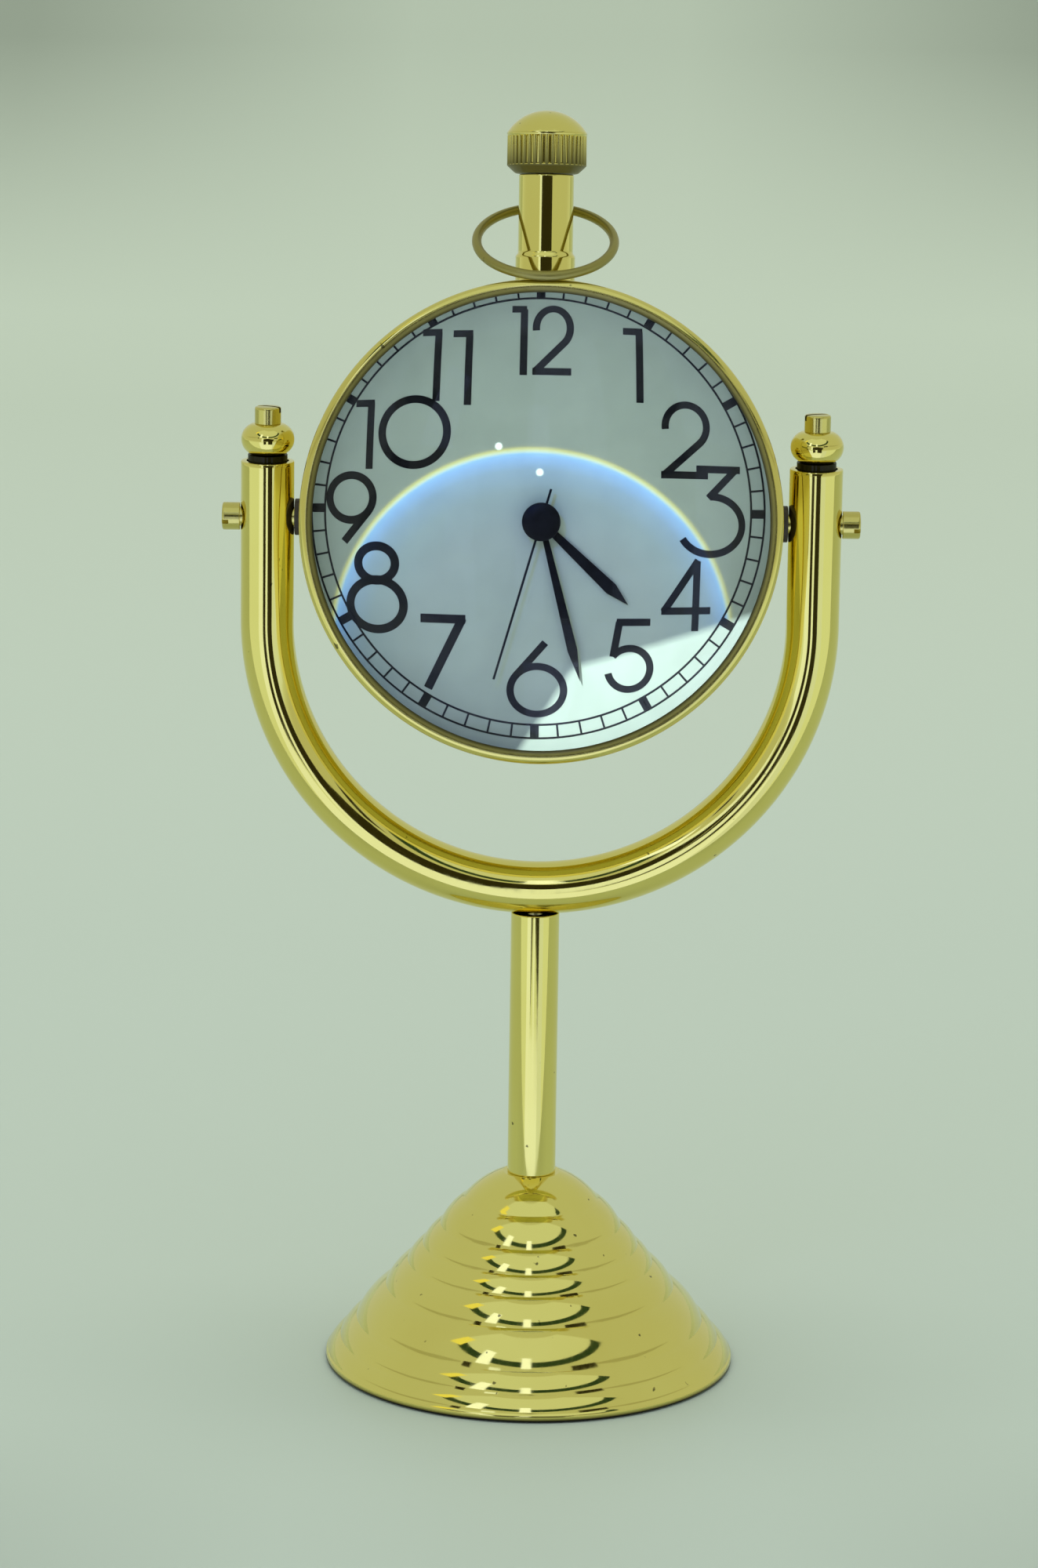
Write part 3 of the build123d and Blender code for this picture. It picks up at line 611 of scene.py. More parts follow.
def snapCover(s):
    # Shallow dished cover with a thumb lip at its lower edge
    back, inside = s["back"], s["inner"] - s["wall"]
    points = [(0, back - s["deep"]), (s["flat"], back - s["deep"], s["flatRound"]),
              (s["edge"] - s["edgeIn"], back - s["edgeDeep"], s["edgeRound"]),
              (s["edge"], back - s["side"], s["sideRound"]), (s["edge"], back), (s["inner"], back),
              (s["inner"], s["reach"], s["wallRound"]), (inside, s["reach"], s["wallRound"]),
              (inside, back), (0, back)]
    disc = lathe("backCoverDisc", points, headPlace, s["around"])
    low = headPlace @ Matrix.Translation((0, s["lip"] - s["edge"] - s["lipOut"], back - s["lipThick"]))
    high = s["lipThick"] - s["lipGap"]
    lipPoints = [(0, 0), (s["lip"], 0, s["lipRound"][0]), (s["lip"], high, s["lipRound"][1]), (0, high)]
    return join("backCover", disc, lathe("thumbLip", lipPoints, low, s["lipAround"]))


settle(snapCover(coverSizes), "head", "polished_brass", "back_cover")

lensSizes = {"radius": 34.0, "back": 7.0, "edge": 10.9, "apex": 20.9, "edgeRound": 0.25, "domeSteps": 72,
             "backSteps": 24, "around": 256}


def lensOutline(s):
    dome = domeOver(s["radius"], s["apex"] - s["edge"], s["apex"], s["domeSteps"])
    back = [(s["radius"] * i / s["backSteps"], s["back"]) for i in range(s["backSteps"])]
    side = softened([back[-1], (s["radius"], s["back"], s["edgeRound"]), dome[0]])[1:-1]
    return back + side + dome + [(0, s["apex"])]


lens = turned("lens", lensOutline(lensSizes), headPlace, lensSizes["around"])
settle(lens, "head", "lens_glass", "lens")

ringSizes = {"outer": 34.1, "inner": 33.2, "low": 3.8, "high": 7.0, "round": 0.2, "around": 224}


def ringPoints(s):
    return [(s["outer"], s["low"]), (s["outer"], s["high"]), (s["inner"], s["high"], s["round"]),
            (s["inner"], s["low"])]


dialRing = lathe("dialRing", ringPoints(ringSizes), headPlace, ringSizes["around"])
settle(dialRing, "head", "ring_black", "dial_ring")

swivelSizes = {"washer": 2.7, "washerLow": 34.9, "washerHigh": 36.45, "washerRound": 0.2, "bore": 1.46,
               "washerAround": 72, "head": 2.05, "headHigh": 2.7, "seat": 44.55, "shank": 1.45,
               "shankLong": 12.8, "slotWide": 0.66, "slotDeep": 1.05, "slotTurn": 25, "tarnishAndShade": 0.22}


def swivel(name, side, s):
    beside = headPlace @ spin(90 * side, "Y")
    points = [(s["bore"], s["washerLow"]), (s["washer"], s["washerLow"]),
              (s["washer"], s["washerHigh"], s["washerRound"]), (s["bore"], s["washerHigh"])]
    washer = lathe("pivotWasher_" + name, points, beside, s["washerAround"])
    settle(washer, "head", "washer_fibre", "pivot_washer_" + name)
    seat = beside @ Matrix.Translation((0, 0, s["seat"])) @ spin(side * s["slotTurn"], "Z")
    screw = screwHead("pivotScrew_" + name, s, s["shankLong"], seat)
    settle(tarnishAndShade(screw, s["tarnishAndShade"]), "head", "polished_brass", "pivot_screw_" + name)


for name, side in bothSides:
    swivel(name, side, swivelSizes)
print("stage: case built")

# Pendant: neck, bow and fluted crown
neckSizes = {"low": 34.3, "collar": 4.4, "collarTop": 39.4, "collarSlope": 0.5, "collarRound": 0.2,
             "radius": 4.05, "top": 50.9, "topRound": 0.25, "around": 128}


def neckPoints(s):
    shoulder = s["collarTop"] - s["collarSlope"]
    return [(0, s["low"]), (s["collar"], s["low"]), (s["collar"], shoulder, s["collarRound"]),
            (s["radius"], s["collarTop"], s["collarRound"]), (s["radius"], s["top"], s["topRound"]),
            (0, s["top"])]


neck = lathe("pendantNeck", neckPoints(neckSizes), upPlace, neckSizes["around"])
settle(neck, "head", "polished_brass", "pendant_neck")

bowSizes = {"radius": 10.1, "wire": 0.7, "slope": 31.18, "sides": 32, "around": 192, "tarnishAndShade": 0.6}


def looseBow(s):
    # The lowest point of the ring lies on its hinge
    hinge = headPlace.inverted() @ Vector(joints["bow_lift"]["pos_m"])
    turns = [2 * pi * i / s["sides"] for i in range(s["sides"])]
    wire = [(s["radius"] + s["wire"] * cos(t), s["wire"] * sin(t)) for t in turns]
    place = (headPlace @ Matrix.Translation(hinge) @ spin(s["slope"], "X")
             @ Matrix.Translation((0, 0, s["radius"])) @ spin(-90, "X"))
    return tarnishAndShade(turned("bow", wire, place, s["around"]), s["tarnishAndShade"])


settle(looseBow(bowSizes), "bow", "polished_brass", "bow")

crownSizes = {"radius": 5.9, "low": 51.0, "foot": 52.2, "rim": 56.53, "domeFoot": 57.0, "top": 60.3,
              "footIn": 4.6, "footRound": 0.3, "core": 5.52, "coreLow": 0.3, "coreHigh": 0.2,
              "rimHigh": 0.05, "rimRound": 0.15, "domeRound": 0.45, "domeSteps": 24, "domeFrom": 3,
              "around": 160, "flutes": 40, "rib": 0.34, "ribSides": 16, "ribOut": 0.99, "ribPast": 0.2,
              "ribUp": 0.05, "footShade": 0.8, "fluteTarnish": 0.1, "domeTarnish": 0.05}


def crownOutline(c):
    dome = domeOver(c["radius"], c["top"] - c["domeFoot"], c["top"], c["domeSteps"])
    above = dome[c["domeFrom"]]
    lower = softened([(0, c["low"]), (c["footIn"], c["low"], c["footRound"]),
                      (c["radius"], c["foot"], c["footRound"]), (c["core"], c["foot"] + c["coreLow"]),
                      (c["core"], c["rim"] - c["coreHigh"]),
                      (c["radius"], c["rim"] + c["rimHigh"], c["rimRound"]), dome[0], above])
    shoulder = softened([lower[-3], (*dome[0], c["domeRound"]), above])[1:-1]
    return lower[:-2] + shoulder + dome[c["domeFrom"]:] + [(0, c["top"])]


def fluteTree(sizes):
    tree, given = newTree("crownFlutes", sizes)
    ring = addNode(tree, "GeometryNodeMeshCircle", {"Vertices": given["flutes"], "Radius": given["ring"]})
    post = {"Vertices": given["sides"], "Radius": given["rib"], "Depth": given["length"]}
    rib = addNode(tree, "GeometryNodeMeshCylinder", post)
    row = addNode(tree, "GeometryNodeInstanceOnPoints", {"Points": ring, "Instance": rib})
    return endTree(tree, row, "polished_brass")


def crownDullnessAndShade(point):
    # A little duller all over, and painted shade under the flutes
    high = (headPlace.inverted() @ point).y
    if high < crownSizes["foot"]:
        return crownSizes["footShade"]
    return crownSizes["fluteTarnish"] if high < crownSizes["domeFoot"] else crownSizes["domeTarnish"]


def flutedCrown(c):
    core = turned("crownCore", crownOutline(c), upPlace, c["around"])
    ribSizes = {"flutes": c["flutes"], "ring": c["ribOut"] * c["radius"] - c["rib"], "rib": c["rib"],
                "length": c["rim"] - c["foot"] + c["ribPast"], "sides": c["ribSides"]}
    ribs = grow(newObject("crownRibs", [], []), fluteTree(ribSizes), ribSizes)
    ribs.data.transform(upPlace @ Matrix.Translation((0, 0, (c["rim"] + c["foot"]) / 2 + c["ribUp"])))
    return tarnishAndShade(join("crown", core, ribs), crownDullnessAndShade)


settle(flutedCrown(crownSizes), "crown", "polished_brass", "crown")
print("stage: pendant built")

# Dial print: numerals from lines and arcs of one stroke width, and the minute track
printSizes = {"level": 3.83, "stroke": 1.0, "arcStep": 4.0, "shift": (-0.5, 1.4),
              "bolder": {"7": 1.2, "8": 1.2, "9": 1.08, "0": 1.08}}


def arcStroke(centre, radius, start, end):
    # Angles in degrees from the right; a clockwise arc ends at a smaller angle
    steps = max(3, int(abs(end - start) / printSizes["arcStep"]))
    turns = [radians(start + (end - start) * i / steps) for i in range(steps + 1)]
    return [(centre[0] + radius * cos(t), centre[1] + radius * sin(t)) for t in turns]


def tangentFrom(point, centre, radius):
    # Angle on the circle, in degrees, where a line from the point touches it
    away = Vector(point) - Vector(centre)
    return (atan2(away.y, away.x) + acos(radius / away.length)) * 180 / pi


def figureTwo():
    top, radius, corner = (0.0, 1.75), 2.9, (-3.0, -4.65)
    touch = tangentFrom(corner, top, radius)
    return [arcStroke(top, radius, 188, touch) + [corner], [(-3.45, -4.65), (3.1, -4.65)]]


def figureNine():
    ring, radius, tail = (0.0, 1.5), 3.15, (-0.9, -4.7)
    touch = tangentFrom(tail, ring, radius)
    loop = arcStroke(ring, radius, touch, touch + 360)
    return [loop, [loop[0], tail]]


def turnedOver(strokes, larger):
    return [[(-x * larger, -y * larger) for x, y in stroke] for stroke in strokes]


figures = {
    "0": [arcStroke((0, 0), 4.5, 0, 360)],
    "1": [[(0.9, 4.65), (0.9, -5.1)], [(-1.35, 4.65), (1.36, 4.65)]],
    "2": figureTwo(),
    "3": [[(-2.3, 5.3), (2.95, 5.3)], [(2.5, 5.45), (-0.85, 1.55)],
          arcStroke((-0.5, -2.0), 3.75, 92, -152)],
    "4": [[(1.35, 5.1), (-3.3, -2.1)], [(-3.6, -2.0), (3.3, -2.0)], [(1.2, 5.0), (1.2, -4.9)]],
    "5": [[(-1.9, 4.65), (2.7, 4.65)], [(-1.5, 4.7), (-2.25, -0.1)],
          arcStroke((0.0, -1.85), 2.9, 142, -168)],
    "6": turnedOver(figureNine(), 1.12),
    "7": [[(-3.1, 4.75), (3.05, 4.75)], [(2.65, 4.9), (-2.2, -5.1)]],
    "8": [arcStroke((0, 2.95), 2.3, 0, 360), arcStroke((0, -2.6), 3.35, 0, 360)],
    "9": figureNine(),
}
# Digit, place, and how much wider and higher than drawn above
numerals = [("1", -2.9, 23.15, 0.75, 0.97), ("2", 1.75, 23.25, 0.80, 0.97), ("1", 12.65, 20.0, 1, 1.03),
            ("2", 19.9, 9.9, 1, 1.03), ("3", 24.1, 0.45, 1.2, 1.04), ("4", 20.45, -11.3, 1, 0.97),
            ("5", 12.7, -19.4, 1, 1), ("6", 0.25, -22.7, 1.03, 0.97), ("7", -12.5, -19.4, 1, 1),
            ("8", -21.75, -10.4, 1.14, 1.02), ("9", -25.5, 0.0, 1, 0.97), ("1", -23.9, 10.1, 1, 0.93),
            ("0", -16.8, 10.4, 1, 1), ("1", -14.85, 19.7, 1, 1), ("1", -10.55, 19.3, 1, 1.03)]


def ribbon(points, width, verts, faces):
    closedLoop = (Vector(points[0]) - Vector(points[-1])).length < tiny
    path = [Vector(p) for p in (points[:-1] if closedLoop else points)]
    count = len(path)
    start = len(verts)
    for i, here in enumerate(path):
        before = path[i - 1] if closedLoop or i else here
        after = path[(i + 1) % count] if closedLoop or i < count - 1 else here
        along = (after - before).normalized()
        aside = Vector((-along.y, along.x)) * width / 2
        verts += [(*(here - aside), printSizes["level"]), (*(here + aside), printSizes["level"])]
    for i in range(count if closedLoop else count - 1):
        a, b = start + 2 * i, start + 2 * ((i + 1) % count)
        faces.append((a, b, b + 1, a + 1))


printVerts, printFaces = [], []
for digit, x, y, wide, high in numerals:
    pen = printSizes["stroke"] * printSizes["bolder"].get(digit, 1)
    for stroke in figures[digit]:
        ribbon([(x + wide * px, y + high * py) for px, py in stroke], pen, printVerts, printFaces)
figurePrint = newObject("hourNumerals", printVerts, printFaces)
printPlace = headPlace @ Matrix.Translation((*printSizes["shift"], 0))
figurePrint.data.transform(printPlace)
settle(figurePrint, "head", "hand_black")

trackSizes = {"inner": 29.35, "outer": 31.4, "line": 0.3, "marks": 60, "tick": 0.28, "hours": 12,
              "block": 1.2, "thin": 0.03, "loopSteps": 240, "penSides": 8, "flatness": 0.1}


def trackTree(sizes):
    tree, given = newTree("minuteTrack", sizes)
    wide = maths(tree, "SUBTRACT", given["outer"], given["inner"])
    middle = maths(tree, "MULTIPLY", maths(tree, "ADD", given["outer"], given["inner"]), 0.5)
    halfLine = maths(tree, "MULTIPLY", given["line"], 0.5)
    flat = addNode(tree, "ShaderNodeCombineXYZ", {0: 1.0, 1: 1.0, 2: given["flatness"]})
    parts = []
    for edge in ("inner", "outer"):
        circle = "GeometryNodeCurvePrimitiveCircle"
        loop = addNode(tree, circle, {"Resolution": given["loopSteps"], "Radius": given[edge]})
        pen = addNode(tree, circle, {"Resolution": given["penSides"], "Radius": halfLine})
        line = addNode(tree, "GeometryNodeCurveToMesh", {"Curve": loop, "Profile Curve": pen})
        parts.append(addNode(tree, "GeometryNodeTransform", {"Geometry": line, "Scale": flat}))
    for count, across in (("marks", "tick"), ("hours", "block")):
        ring = addNode(tree, "GeometryNodeMeshCircle", {"Vertices": given[count], "Radius": middle})
        size = addNode(tree, "ShaderNodeCombineXYZ", {0: wide, 1: given[across], 2: given["thin"]})
        mark = addNode(tree, "GeometryNodeMeshCube", {"Size": size})
        facing = {"Vector": addNode(tree, "GeometryNodeInputPosition")}
        turn = addNode(tree, "FunctionNodeAlignRotationToVector", facing, axis="X", pivot_axis="Z")
        row = {"Points": ring, "Instance": mark, "Rotation": turn}
        parts.append(addNode(tree, "GeometryNodeInstanceOnPoints", row))
    merged = addNode(tree, "GeometryNodeJoinGeometry")
    for part in parts:
        tree.links.new(part.outputs[0], merged.inputs[0])
    return endTree(tree, merged, "hand_black")


track = grow(newObject("minuteTrack", [], []), trackTree(trackSizes), trackSizes)
track.data.transform(printPlace @ Matrix.Translation((0, 0, printSizes["level"])))
settle(track, "head", "hand_black")

# Hour and minute hands: flat lances that widen towards the point, with a softened front edge
handSizes = {"hour": {"reach": 16.2, "root": 1.0, "full": 1.72, "low": 4.1, "hub": 2.2, "bore": 1.0,
                      "turn": 133.0},
             "minute": {"reach": 22.4, "root": 0.78, "full": 1.36, "low": 4.8, "hub": 1.9, "bore": 0.6,
                        "turn": 165.5},
             "thick": 0.25, "edge": 0.06, "widest": 0.8, "foot": 0.7, "around": 64}


def lanceHand(name, s):
    thick, edge = handSizes["thick"], handSizes["edge"]
    foot, widest = handSizes["foot"] * s["hub"], handSizes["widest"] * s["reach"]
    outline = [(-s["root"] / 2, foot), (s["root"] / 2, foot), (s["full"] / 2, widest), (0, s["reach"]),
               (-s["full"] / 2, widest)]
    inset = [(x - edge * (x > 0) + edge * (x < 0), y - 2 * edge * (x == 0)) for x, y in outline]
    top = s["low"] + thick
    levels = [(outline, s["low"]), (outline, top - edge), (inset, top)]
    verts = [(x, y, z) for points, z in levels for x, y in points]
    count = len(outline)
    faces = [list(reversed(range(count))), [2 * count + i for i in range(count)]]
    for ring in (0, count):
        for i in range(count):
            n = (i + 1) % count
            faces.append([ring + i, ring + n, ring + count + n, ring + count + i])
    turn = headPlace @ spin(-s["turn"], "Z")
    blade = newObject(name, verts, faces)
    blade.data.transform(turn)
    hubPoints = [(s["bore"], s["low"]), (s["hub"], s["low"]), (s["hub"], top, edge), (s["bore"], top)]
    return join(name, blade, lathe(name + "Hub", hubPoints, turn, handSizes["around"]))


hourHand = settle(lanceHand("hourHand", handSizes["hour"]), "hours", "hand_black", "hour_hand")
minuteHand = settle(lanceHand("minuteHand", handSizes["minute"]), "minutes", "hand_black", "minute_hand")

capSizes = {"radius": 2.6, "low": 5.8, "high": 6.45, "footRound": 0.08, "edge": 0.2, "crown": 0.6,
            "crownRound": 0.8, "around": 72}


def capPoints(s):
    return [(0, s["low"]), (s["radius"], s["low"], s["footRound"]),
            (s["radius"], s["high"] - s["edge"], s["edge"]),
            (s["crown"] * s["radius"], s["high"], s["crownRound"]), (0, s["high"])]


hubCap = lathe("hubCap", capPoints(capSizes), headPlace, capSizes["around"])
settle(hubCap, "seconds", "hand_black", "hub_cap")
print("stage: dial printed")

# Camera at the photo's view
cameraSizes = {"place": (0.0, -0.800, 0.2747), "yaw": -0.195, "pitch": 13.011, "roll": 0.836,
               "focal": 7001.8, "wide": 1324, "sensor": 36.0, "nearest": 0.01}


def placeCamera(s):
    yaw, pitch, roll = (radians(s[key]) for key in ("yaw", "pitch", "roll"))
    ahead = Vector((sin(yaw) * cos(pitch), cos(yaw) * cos(pitch), -sin(pitch)))
    level = Vector((cos(yaw), -sin(yaw), 0))
    upright = level.cross(ahead)
    right = level * cos(roll) + upright * sin(roll)
    up = upright * cos(roll) - level * sin(roll)
    lensData = bpy.data.cameras.new("photoCamera")
    lensData.sensor_fit = "HORIZONTAL"
    lensData.sensor_width = s["sensor"]
    lensData.lens = s["sensor"] * s["focal"] / s["wide"]
    lensData.clip_start = s["nearest"]
    eye = placed("photoCamera", lensData)
    eye.matrix_world = Matrix.Translation(s["place"]) @ Matrix((right, up, -ahead)).transposed().to_4x4()
    bpy.context.scene.camera = eye


placeCamera(cameraSizes)

# Stage: pale sweep, soft tent all round, and the tent's openings as cards on a ball round the object
stageSizes = {"half": 2.2, "near": -1.6, "front": -0.096, "back": 1.6, "bend": 0.7, "swing": 33.0,
              "steps": 24, "crease": 60}
# Shading runs between two places: x is across, y is away from the camera, z is up
floorLook = {"paper": (0.600, 0.675, 0.605), "farPaperPaintedLighter": (0.73, 0.80, 0.70), "lighterPaperY": (0.25, 1.15),
             "shade": (0.28, 0.315, 0.265), "rough": 0.5, "farZ": (0.012, 0.085), "farX": (0.25, 0.50),
             "cornerX": (0.05, 0.19), "cornerShade": (0.25, 0.76), "nearY": (-0.03, -0.095),
             "nearEndY": (-0.10, -0.18), "nearX": (0.035, 0.075), "nearEndX": (0.085, 0.16),
             "nearShade": 0.22}


def floorPaint(look):
    # Pale paper with painted light and shade: painted paler far away, where less light falls, and painted shade in
    # the far and the near corners
    made, tree, shader, output, place = newMaterial("floorPaper")
    x, y, z = addNode(tree, "ShaderNodeSeparateXYZ", {0: place}).outputs
    x = maths(tree, "ABSOLUTE", x)
    far = maths(tree, "MULTIPLY", ranged(tree, z, *look["farZ"]), ranged(tree, x, *look["farX"], 1, 0))
    corner = maths(tree, "MULTIPLY", ranged(tree, x, *look["cornerX"], *look["cornerShade"]), far)
    front = maths(tree, "MULTIPLY", ranged(tree, y, *look["nearY"]),
                  ranged(tree, y, *look["nearEndY"], 1, 0))
    aside = maths(tree, "MULTIPLY", ranged(tree, x, *look["nearX"], 0, look["nearShade"]),
                  ranged(tree, x, *look["nearEndX"], 1, 0))
    shade = maths(tree, "ADD", corner, maths(tree, "MULTIPLY", front, aside))
    # Painted light: the paper is painted paler far away
    paper = mixed(tree, ranged(tree, y, *look["lighterPaperY"]), look["paper"], look["farPaperPaintedLighter"])
    feed(tree, shader, {"Base Color": mixed(tree, shade, paper, look["shade"]), "Roughness": look["rough"]})
    return made


def strip(name, lines):
    # Band of faces between lines of two points each
    verts = [point for line in lines for point in line]
    faces = [(2 * i, 2 * i + 1, 2 * i + 3, 2 * i + 2) for i in range(len(lines) - 1)]
    return newObject(name, verts, faces)


def sweepFloor(s):
    outline = [(s["front"], 0.0), (s["back"] - s["bend"], 0.0)]
    for i in range(1, s["steps"] + 1):
        t = radians(s["swing"]) * i / s["steps"]
        outline.append((s["back"] - s["bend"] + s["bend"] * sin(t), s["bend"] - s["bend"] * cos(t)))
    sides = (-s["half"], s["half"])
    floor = strip("floorSweep", [[(x, y, z) for x in sides] for y, z in outline])
    smooth(floor, s["crease"])
    # The near floor is there for other views; the brass mirrors the cards below it
    near = strip("floorNear", [[(x, y, 0.0) for x in sides] for y in (s["near"], s["front"])])
    for sort in ("diffuse", "glossy", "transmission", "shadow"):
        setattr(near, "visible_" + sort, False)
    paint = floorPaint(floorLook)
    for part in (floor, near):
        part.data.materials.append(paint)


sweepFloor(stageSizes)

cardSizes = {"height": 0.08, "distance": 0.95, "closer": 0.93}
cardColours = {"dark": (0.030, 0.028, 0.012), "green": (0.030, 0.062, 0.036), "pale": (0.70, 0.80, 0.78),
               "dim": (0.43, 0.46, 0.35), "glow": (0.78, 0.93, 1.20), "white": (0.98, 1.15, 1.60),
               "bright": (1.25, 1.45, 2.20), "warm": (1.0, 0.95, 0.30)}


def card(name, colour, columns, distance="distance"):
    # Glowing band on a ball; each column is a heading, a low and a high elevation in degrees
    lines = []
    for heading, *rises in columns:
        line = []
        for rise in rises:
            flat = cardSizes[distance] * cos(radians(rise))
            line.append((flat * sin(radians(heading)), -flat * cos(radians(heading)),
                         cardSizes["height"] + cardSizes[distance] * sin(radians(rise))))
        lines.append(line)
    made = strip(name, lines)
    paint = bpy.data.materials.new(name)
    tree = emptied(paint)
    light = addNode(tree, "ShaderNodeEmission", {"Color": (*cardColours[colour], 1), "Strength": 1.0})
    addNode(tree, "ShaderNodeOutputMaterial", {"Surface": light})
    made.data.materials.append(paint)
    made.visible_camera = False


# Camera side: dark opening with a bright edge; below it bright ground with two dark gaps
card("cameraOpening", "dark", [(-19, 3, 20), (-12, 5, 22), (-5, 4, 24), (2, 4, 25), (9, 5, 23),
                               (20, 5, 20), (26, 12, 20)])
card("cameraStrip", "white", [(-27, 2, 26), (-19, 2, 26)])
card("groundGlow", "white", [(-36, -60, -17), (-17, -60, -17), (2, -60, -17), (20, -60, -17)])
card("groundLeft", "white", [(-36, -17, -1), (-18, -17, -1)])
card("groundGapLeft", "dark", [(-18, -17, 3), (-7, -14, 4)])
card("groundMiddle", "white", [(-7, -17, 4), (1, -17, 4)])
card("groundGapRight", "dark", [(1, -15, 4), (10, -16, 5), (20, -17, 5)])
card("groundRight", "glow", [(20, -60, -3), (30, -60, -2), (40, -60, -1)])
# Above: the tent's round opening, with a dark edge that rises to both sides
bowlSizes = {"side": 72, "step": 6, "low": 29, "rise": 22, "edge": 8, "top": 78}
headings = range(-bowlSizes["side"], bowlSizes["side"] + 1, bowlSizes["step"])
bowl = [(heading, bowlSizes["low"] + bowlSizes["rise"] * (heading / bowlSizes["side"]) ** 2)
        for heading in headings]
card("bowlEdge", "green", [(heading, low, low + bowlSizes["edge"]) for heading, low in bowl])
card("bowlFilling", "pale", [(heading, low + bowlSizes["edge"], bowlSizes["top"])
                             for heading, low in bowl])
card("bowlLeftStrip", "bright", [(-38, 29, 54), (-28, 29, 54)], "closer")
card("bowlMiddleStrip", "bright", [(-5, 27, 48), (2, 27, 48)], "closer")
card("warmLamp", "warm", [(-74, 47, 60), (-62, 47, 60)], "closer")
card("leftBar", "dark", [(-46, 22, 28), (-40, 22, 28)], "closer")
card("rightBar", "dark", [(30, 22, 28), (48, 22, 28)], "closer")
# Dim bands at the sides, which draw the ridges on the flanks of the base
flank = [(48, 25, 27), (62, 21, 26), (78, 18, 22), (92, 16, 18.5), (108, 13, 13.2)]
for name, side in (("flankLeft", -1), ("flankRight", 1)):
    card(name, "dim", [(side * heading, low, high) for heading, low, high in flank])

tentLook = {"lower": (0.78, 0.92, 0.92), "upper": (0.57, 0.63, 0.53), "between": (-0.12, 0.02)}


def softTent(look):
    world = bpy.data.worlds.new("softTent")
    bpy.context.scene.world = world
    tree = emptied(world)
    direction = tree.nodes.new("ShaderNodeTexCoord").outputs["Generated"]
    height = addNode(tree, "ShaderNodeSeparateXYZ", {0: direction}).outputs[2]
    tent = mixed(tree, ranged(tree, height, *look["between"]), look["lower"], look["upper"])
    sky = addNode(tree, "ShaderNodeBackground", {"Color": tent, "Strength": 1.0})
    addNode(tree, "ShaderNodeOutputWorld", {"Surface": sky})


softTent(tentLook)

softboxSizes = {"place": (0.0, -0.1, 1.3), "target": (0, 0, 0.1), "size": 1.0, "power": 7.5}


def softbox(s):
    data = bpy.data.lights.new("topSoftbox", "AREA")
    data.shape = "DISK"
    data.size = s["size"]
    data.energy = s["power"]
    made = placed("topSoftbox", data)
    turn = (Vector(s["place"]) - Vector(s["target"])).to_track_quat("Z", "Y").to_matrix().to_4x4()
    made.matrix_world = Matrix.Translation(s["place"]) @ turn
    made.visible_glossy = False
    made.visible_transmission = False


softbox(softboxSizes)

# Light that the thick lens gathers on the lower dial, with a coloured fringe, a white patch and two sparks
arcSizes = {"centre": (-1.17, -18.4), "radius": 28.65, "place": (-170.0, 250.0, 560.0), "level": 3.8,
            "power": 27.0, "cone": 75.0, "fade": (-16.0, 4.0), "faded": 0.55, "patch": (4.2, -19.1),
            "patchTop": (0.272, -0.962), "patchSide": (0.863, -0.505), "patchSoft": 1.2,
            "patchColour": (0.68, 0.73, 0.86), "sparks": [(-5.8, 9.9), (-0.3, 6.5)], "spark": (0.3, 0.6),
            "sparkColour": (1.3, 1.3, 1.6)}
# Share of the arc's radius, and the colour there
arcColours = [(0.00, (0.0, 0.005, 0.13)), (0.60, (0.0, 0.01, 0.14)), (0.78, (0.006, 0.045, 0.20)),
              (0.88, (0.013, 0.095, 0.40)), (0.935, (0.04, 0.21, 0.84)), (0.955, (0.08, 0.32, 1.0)),
              (0.967, (0.52, 0.56, 0.50)), (0.979, (0.50, 0.39, 0.0)), (0.990, (0.08, 0.06, 0.0)),
              (1.00, (0.0, 0.0, 0.0))]


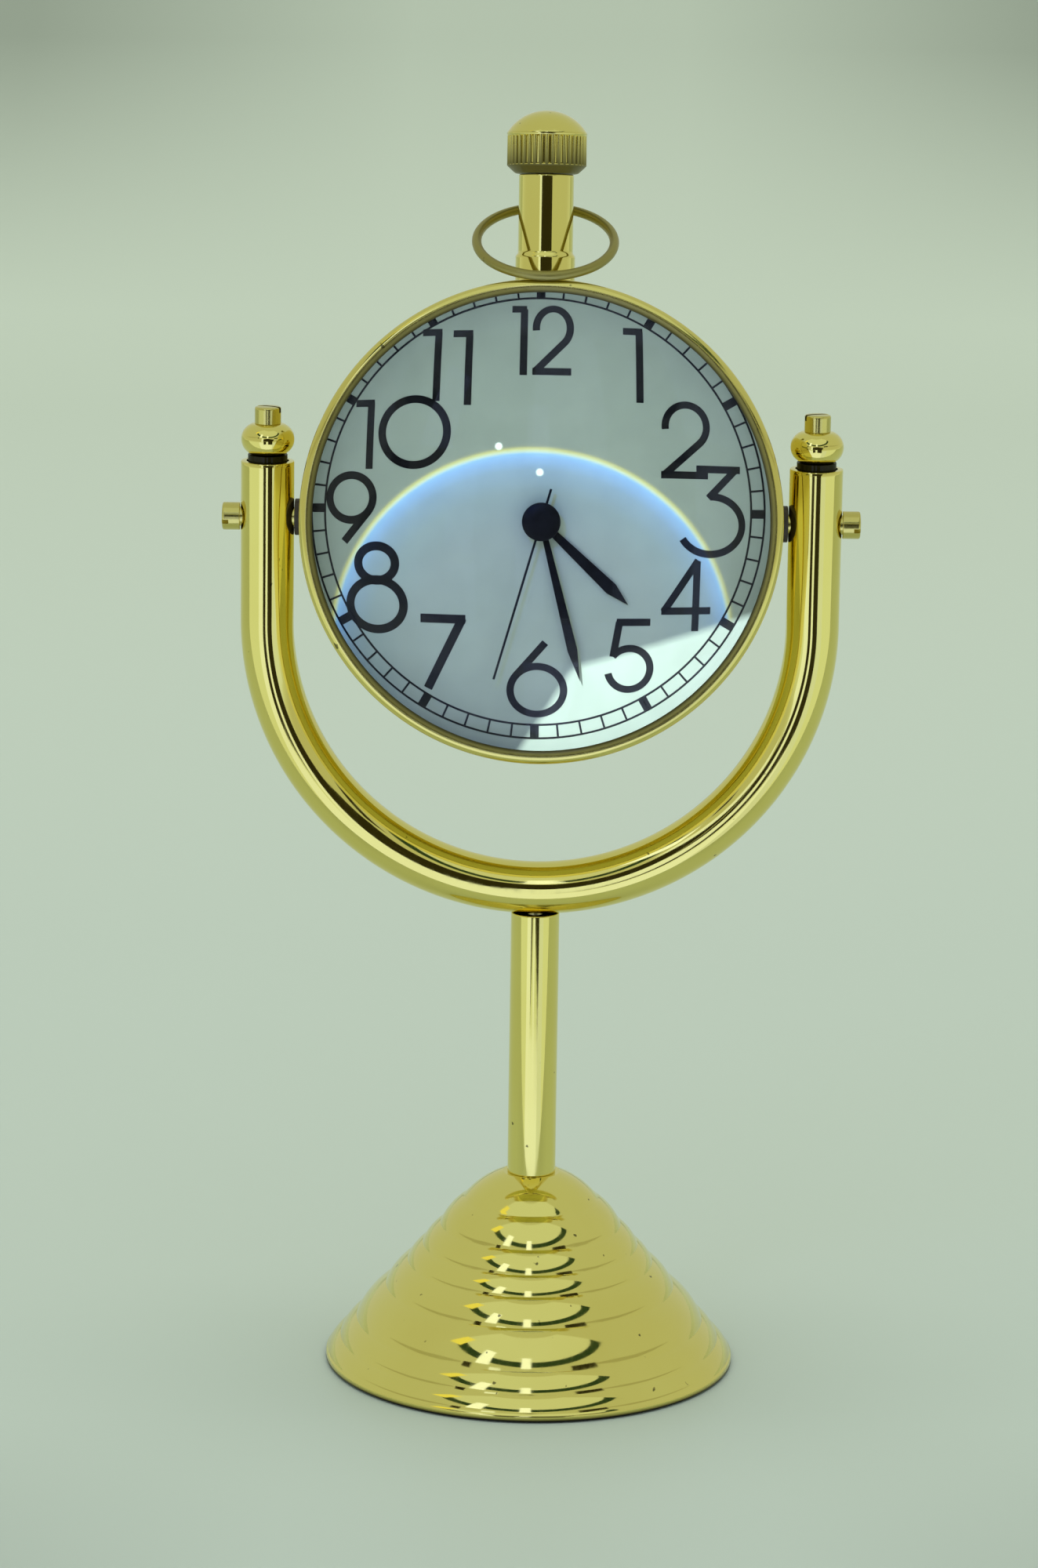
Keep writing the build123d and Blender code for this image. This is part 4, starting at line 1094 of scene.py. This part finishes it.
def gatheredPattern(tree, s, colours):
    # Colour of each ray by where it meets the dial, in millimetres from the dial's centre
    normal = tree.nodes.new("ShaderNodeTexCoord").outputs["Normal"]
    ray = addNode(tree, "ShaderNodeSeparateXYZ", {0: normal}).outputs
    deep = s["level"] - s["place"][2]
    places = []
    for i in (0, 1):
        slope = maths(tree, "DIVIDE", ray[i], ray[2])
        places.append(maths(tree, "ADD", maths(tree, "MULTIPLY", slope, deep), s["place"][i]))
    spot = addNode(tree, "ShaderNodeCombineXYZ", dict(enumerate(places)))

    def compared(operation, place, other):
        ends = {0: place, 1: (*other, 0)}
        return addNode(tree, "ShaderNodeVectorMath", ends, operation=operation).outputs

    aside = compared("DISTANCE", spot, s["centre"])["Value"]
    ramp = addNode(tree, "ShaderNodeValToRGB", {0: ranged(tree, aside, 0, s["radius"])})
    while len(ramp.color_ramp.elements) < len(colours):
        ramp.color_ramp.elements.new(0.5)
    for stop, (place, colour) in zip(ramp.color_ramp.elements, colours):
        stop.position = place
        stop.color = (*colour, 1)
    shown = ranged(tree, places[1], *s["fade"], s["faded"], 1)
    pattern = mixed(tree, shown, (0, 0, 0), ramp.outputs[0])
    # The patch lies inside two straight edges that meet at its corner
    fromCorner = compared("SUBTRACT", spot, s["patch"])[0]
    inside = []
    for key in ("patchTop", "patchSide"):
        past = compared("DOT_PRODUCT", fromCorner, s[key])["Value"]
        inside.append(ranged(tree, past, 0, s["patchSoft"]))
    pattern = mixed(tree, maths(tree, "MULTIPLY", *inside), pattern, s["patchColour"])
    for spark in s["sparks"]:
        near = ranged(tree, compared("DISTANCE", spot, spark)["Value"], *s["spark"], 1, 0)
        pattern = mixed(tree, near, pattern, s["sparkColour"])
    return pattern


def gatheredLight(s, colours, receivers):
    data = bpy.data.lights.new("gatheredLight", "SPOT")
    data.energy = s["power"]
    data.spot_size = radians(s["cone"])
    data.spot_blend = 0.0
    data.shadow_soft_size = 0.0
    tree = emptied(data)
    glow = {"Color": gatheredPattern(tree, s, colours), "Strength": 1.0}
    addNode(tree, "ShaderNodeOutputLight", {0: addNode(tree, "ShaderNodeEmission", glow)})
    made = placed("gatheredLight", data)
    made.matrix_world = Matrix.Translation(headPlace @ Vector(s["place"])) @ headTurn
    lit = bpy.data.collections.new("gatheredLight")
    for receiver in receivers:
        lit.objects.link(receiver)
    made.light_linking.receiver_collection = lit


gatheredLight(arcSizes, arcColours, [nodes["dial"], nodes["seconds_hand"], hourHand, minuteHand,
                                     figurePrint, track, hubCap])

bpy.context.scene.view_settings.view_transform = "Standard"
print("stage: light and camera set")
